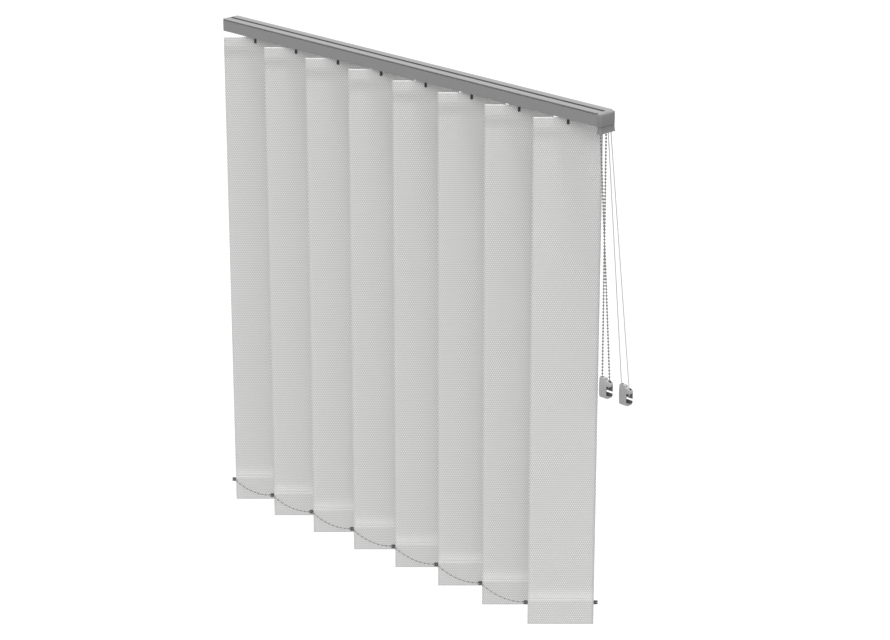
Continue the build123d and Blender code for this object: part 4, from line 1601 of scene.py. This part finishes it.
@dataclass
class GuideSkirt:
    """The flared skirt that the chain and the cords come down through.

    Attributes:
        low: The lowest corner of the node that it stands for.
        high: The highest corner.
        arch: How far its lower edge is arched.
        gap: How far its top is set back under the housing, and over what height.
        flare: The power by which it flares.
    """

    low: Vector
    high: Vector
    neck: Span = (0.0078, 0.0382)
    wall: float = 0.0010
    corner: float = 0.0012
    arch: float = 0.0016
    gap: Span = (0.0006, 0.0011)
    steps: int = 8
    flare: float = 2.2

    def build(self, shop: Workshop) -> Object:
        """Draws the neck, pulls it down into the flare and gives it its wall.

        Args:
            shop: Where the piece is made.

        Returns:
            The skirt's object.
        """
        low, high, middle = self.low, self.high, (self.low + self.high) / 2
        mesh = bmesh.new()
        place = Matrix.Translation((middle.x, middle.y, high.z)) @ Matrix.Diagonal((*self.neck, 1.0, 1.0))
        bmesh.ops.create_grid(mesh, x_segments=1, y_segments=1, size=0.5, matrix=place)
        ease(mesh, mesh.verts[:], self.corner, 4, affect="VERTICES")
        drop = Vector((0.0, 0.0, (low.z - high.z) / self.steps))
        spread = ((high.x - low.x) / self.neck[0] - 1.0, (high.y - low.y) / self.neck[1] - 1.0)
        about = Matrix.Translation((-middle.x, -middle.y, 0.0))
        edges = [edge for edge in mesh.edges if edge.is_boundary]
        bmesh.ops.delete(mesh, geom=mesh.faces[:], context="FACES_ONLY")
        reach = 0.0
        for step in range(self.steps):
            pulled = bmesh.ops.extrude_edge_only(mesh, edges=edges)["geom"]
            verts = only(pulled, BMVert)
            bmesh.ops.translate(mesh, verts=verts, vec=drop)
            wanted = ((step + 1) / self.steps) ** self.flare
            factors = [(1.0 + part * wanted) / (1.0 + part * reach) for part in spread]
            bmesh.ops.scale(mesh, verts=verts, vec=(*factors, 1.0), space=about)
            edges = only(pulled, BMEdge)
            reach = wanted
        for vert in mesh.verts:
            share = (high.z - vert.co.z) / (high.z - low.z)
            across = (vert.co.y - middle.y) / (high.y - low.y) * 2.0
            vert.co.z += self.arch * share ** 3 * (1.0 - across ** 2)
        bmesh.ops.recalc_face_normals(mesh, faces=mesh.faces[:])
        bmesh.ops.solidify(mesh, geom=mesh.faces[:], thickness=self.wall)
        skirt = shop.piece("skirt", mesh, "end")
        carve(skirt, self.tools(middle))
        stand_in(skirt, "rail", "cord_guide")
        return skirt

    def tools(self, middle: Vector) -> list[Tool]:
        """The shapes that set the neck's top back, for the dark line under the housing.

        Args:
            middle: The middle of the node that it stands for.

        Returns:
            Each step and its shape.
        """
        deep, tall = self.gap
        near, far = self.neck[0] / 2 - deep, self.neck[1] / 2 - deep
        reach = self.neck[1]
        level = (self.high.z - tall, self.high.z + tall)
        steps = []
        for sign in (-1, 1):
            x = sorted((middle.x + sign * near, middle.x + sign * reach))
            y = sorted((middle.y + sign * far, middle.y + sign * reach))
            steps.append((Step.CUT, bar(tuple(x), (middle.y - reach, middle.y + reach), level)))
            steps.append((Step.CUT, bar((middle.x - reach, middle.x + reach), tuple(y), level)))
        return steps


class Blind:
    """The whole blind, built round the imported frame."""

    FINISHES = {
        "headrail": "rail", "end_cap_screws": "screw", "tilt_rod": "rod", "chain_sprocket": "inner",
        "return_pulley": "inner", "cord_pulley_front": "inner", "cord_pulley_rear": "inner",
        "pulley_axle": "screw", "cord_clamp": "inner", "draw_cord_run": "inner",
    }
    VANE_FINISHES = {"carrier": "inner", "vane_stem": "hook", "vane_hanger": "hanger"}
    WEIGHTS = {"chain_weight": "hook_weight_chain", "cord_weight": "hook_weight_cord"}

    def __init__(self, frame: dict, shop: Workshop) -> None:
        """Takes the frame and the workshop.

        Args:
            shop: Where the pieces are made.
        """
        self.nodes = frame["nodes"]
        self.joints = {joint["name"]: joint for joint in frame["joints"]}
        self.numbers = range(1, VANE_COUNT + 1)
        self.shop = shop

    def axis(self, number: int) -> Span:
        """A vane's turning line, as X and Y."""
        return tuple(self.joints[f"tilt_{number}"]["pos_m"][:2])

    def dress_frame(self) -> None:
        """Gives every node that stays its finish."""
        for name, finish in self.FINISHES.items():
            self.shop.dress(self.nodes[name], finish)
        for number in self.numbers:
            for name, finish in self.VANE_FINISHES.items():
                self.shop.dress(self.nodes[f"{name}_{number}"], finish)
        LOG.info("dressed %d nodes", len(self.FINISHES) + len(self.VANE_FINISHES) * VANE_COUNT)

    def close_ends(self) -> None:
        """Makes the two end pieces of the rail."""
        EasedCopy("left_end_cap", "cap_left", "end", Slot.END, "rail").build(self.shop, self.nodes)
        ControlHousing().build(self.shop, self.nodes)

    def hang_vanes(self) -> None:
        """Makes every vane's cloth and the weight in its lower hem."""
        height = self.joints["front_chain_swing"]["pos_m"][2]
        for number in self.numbers:
            low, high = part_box(f"vane_{number}")
            VaneCloth(number, self.axis(number), top=high[2], bottom=low[2]).build(self.shop)
            BottomWeight(number, self.axis(number), low[2], height).build(self.shop)

    def string_chains(self) -> None:
        """Makes the two chains that join the bottom weights."""
        height = Vector(self.joints["front_chain_swing"]["pos_m"]).z
        for name, side in (("front", -1), ("back", 1)):
            places = []
            for number in self.numbers:
                x, y = self.axis(number)
                reach = side * RING_REACH
                place = (x + reach * math.cos(REST_TURN), y + reach * math.sin(REST_TURN), height)
                places.append(Vector(place))
            BottomChain(name, places).build(self.shop)

    def hang_controls(self) -> None:
        """Makes the skirt, the weights, the control chain and the draw cord."""
        low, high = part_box("cord_guide")
        GuideSkirt(Vector(low), Vector(high)).build(self.shop)
        weights = {node: HookWeight(name, node).build(self.shop) for node, name in self.WEIGHTS.items()}
        ControlChain().build(self.shop, weights["chain_weight"])
        DrawCord().build(self.shop, weights["cord_weight"])


def main() -> None:
    """Builds the blind and its studio, and notes the sizes."""
    logging.basicConfig(level=logging.INFO, format="%(message)s")
    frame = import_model()
    Studio().build()
    bpy.context.scene.view_settings.view_transform = "Standard"
    blind = Blind(frame, Workshop(Palette()))
    blind.dress_frame()
    blind.hang_vanes()
    blind.string_chains()
    blind.close_ends()
    blind.hang_controls()
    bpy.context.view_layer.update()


if __name__ == "__main__":
    main()
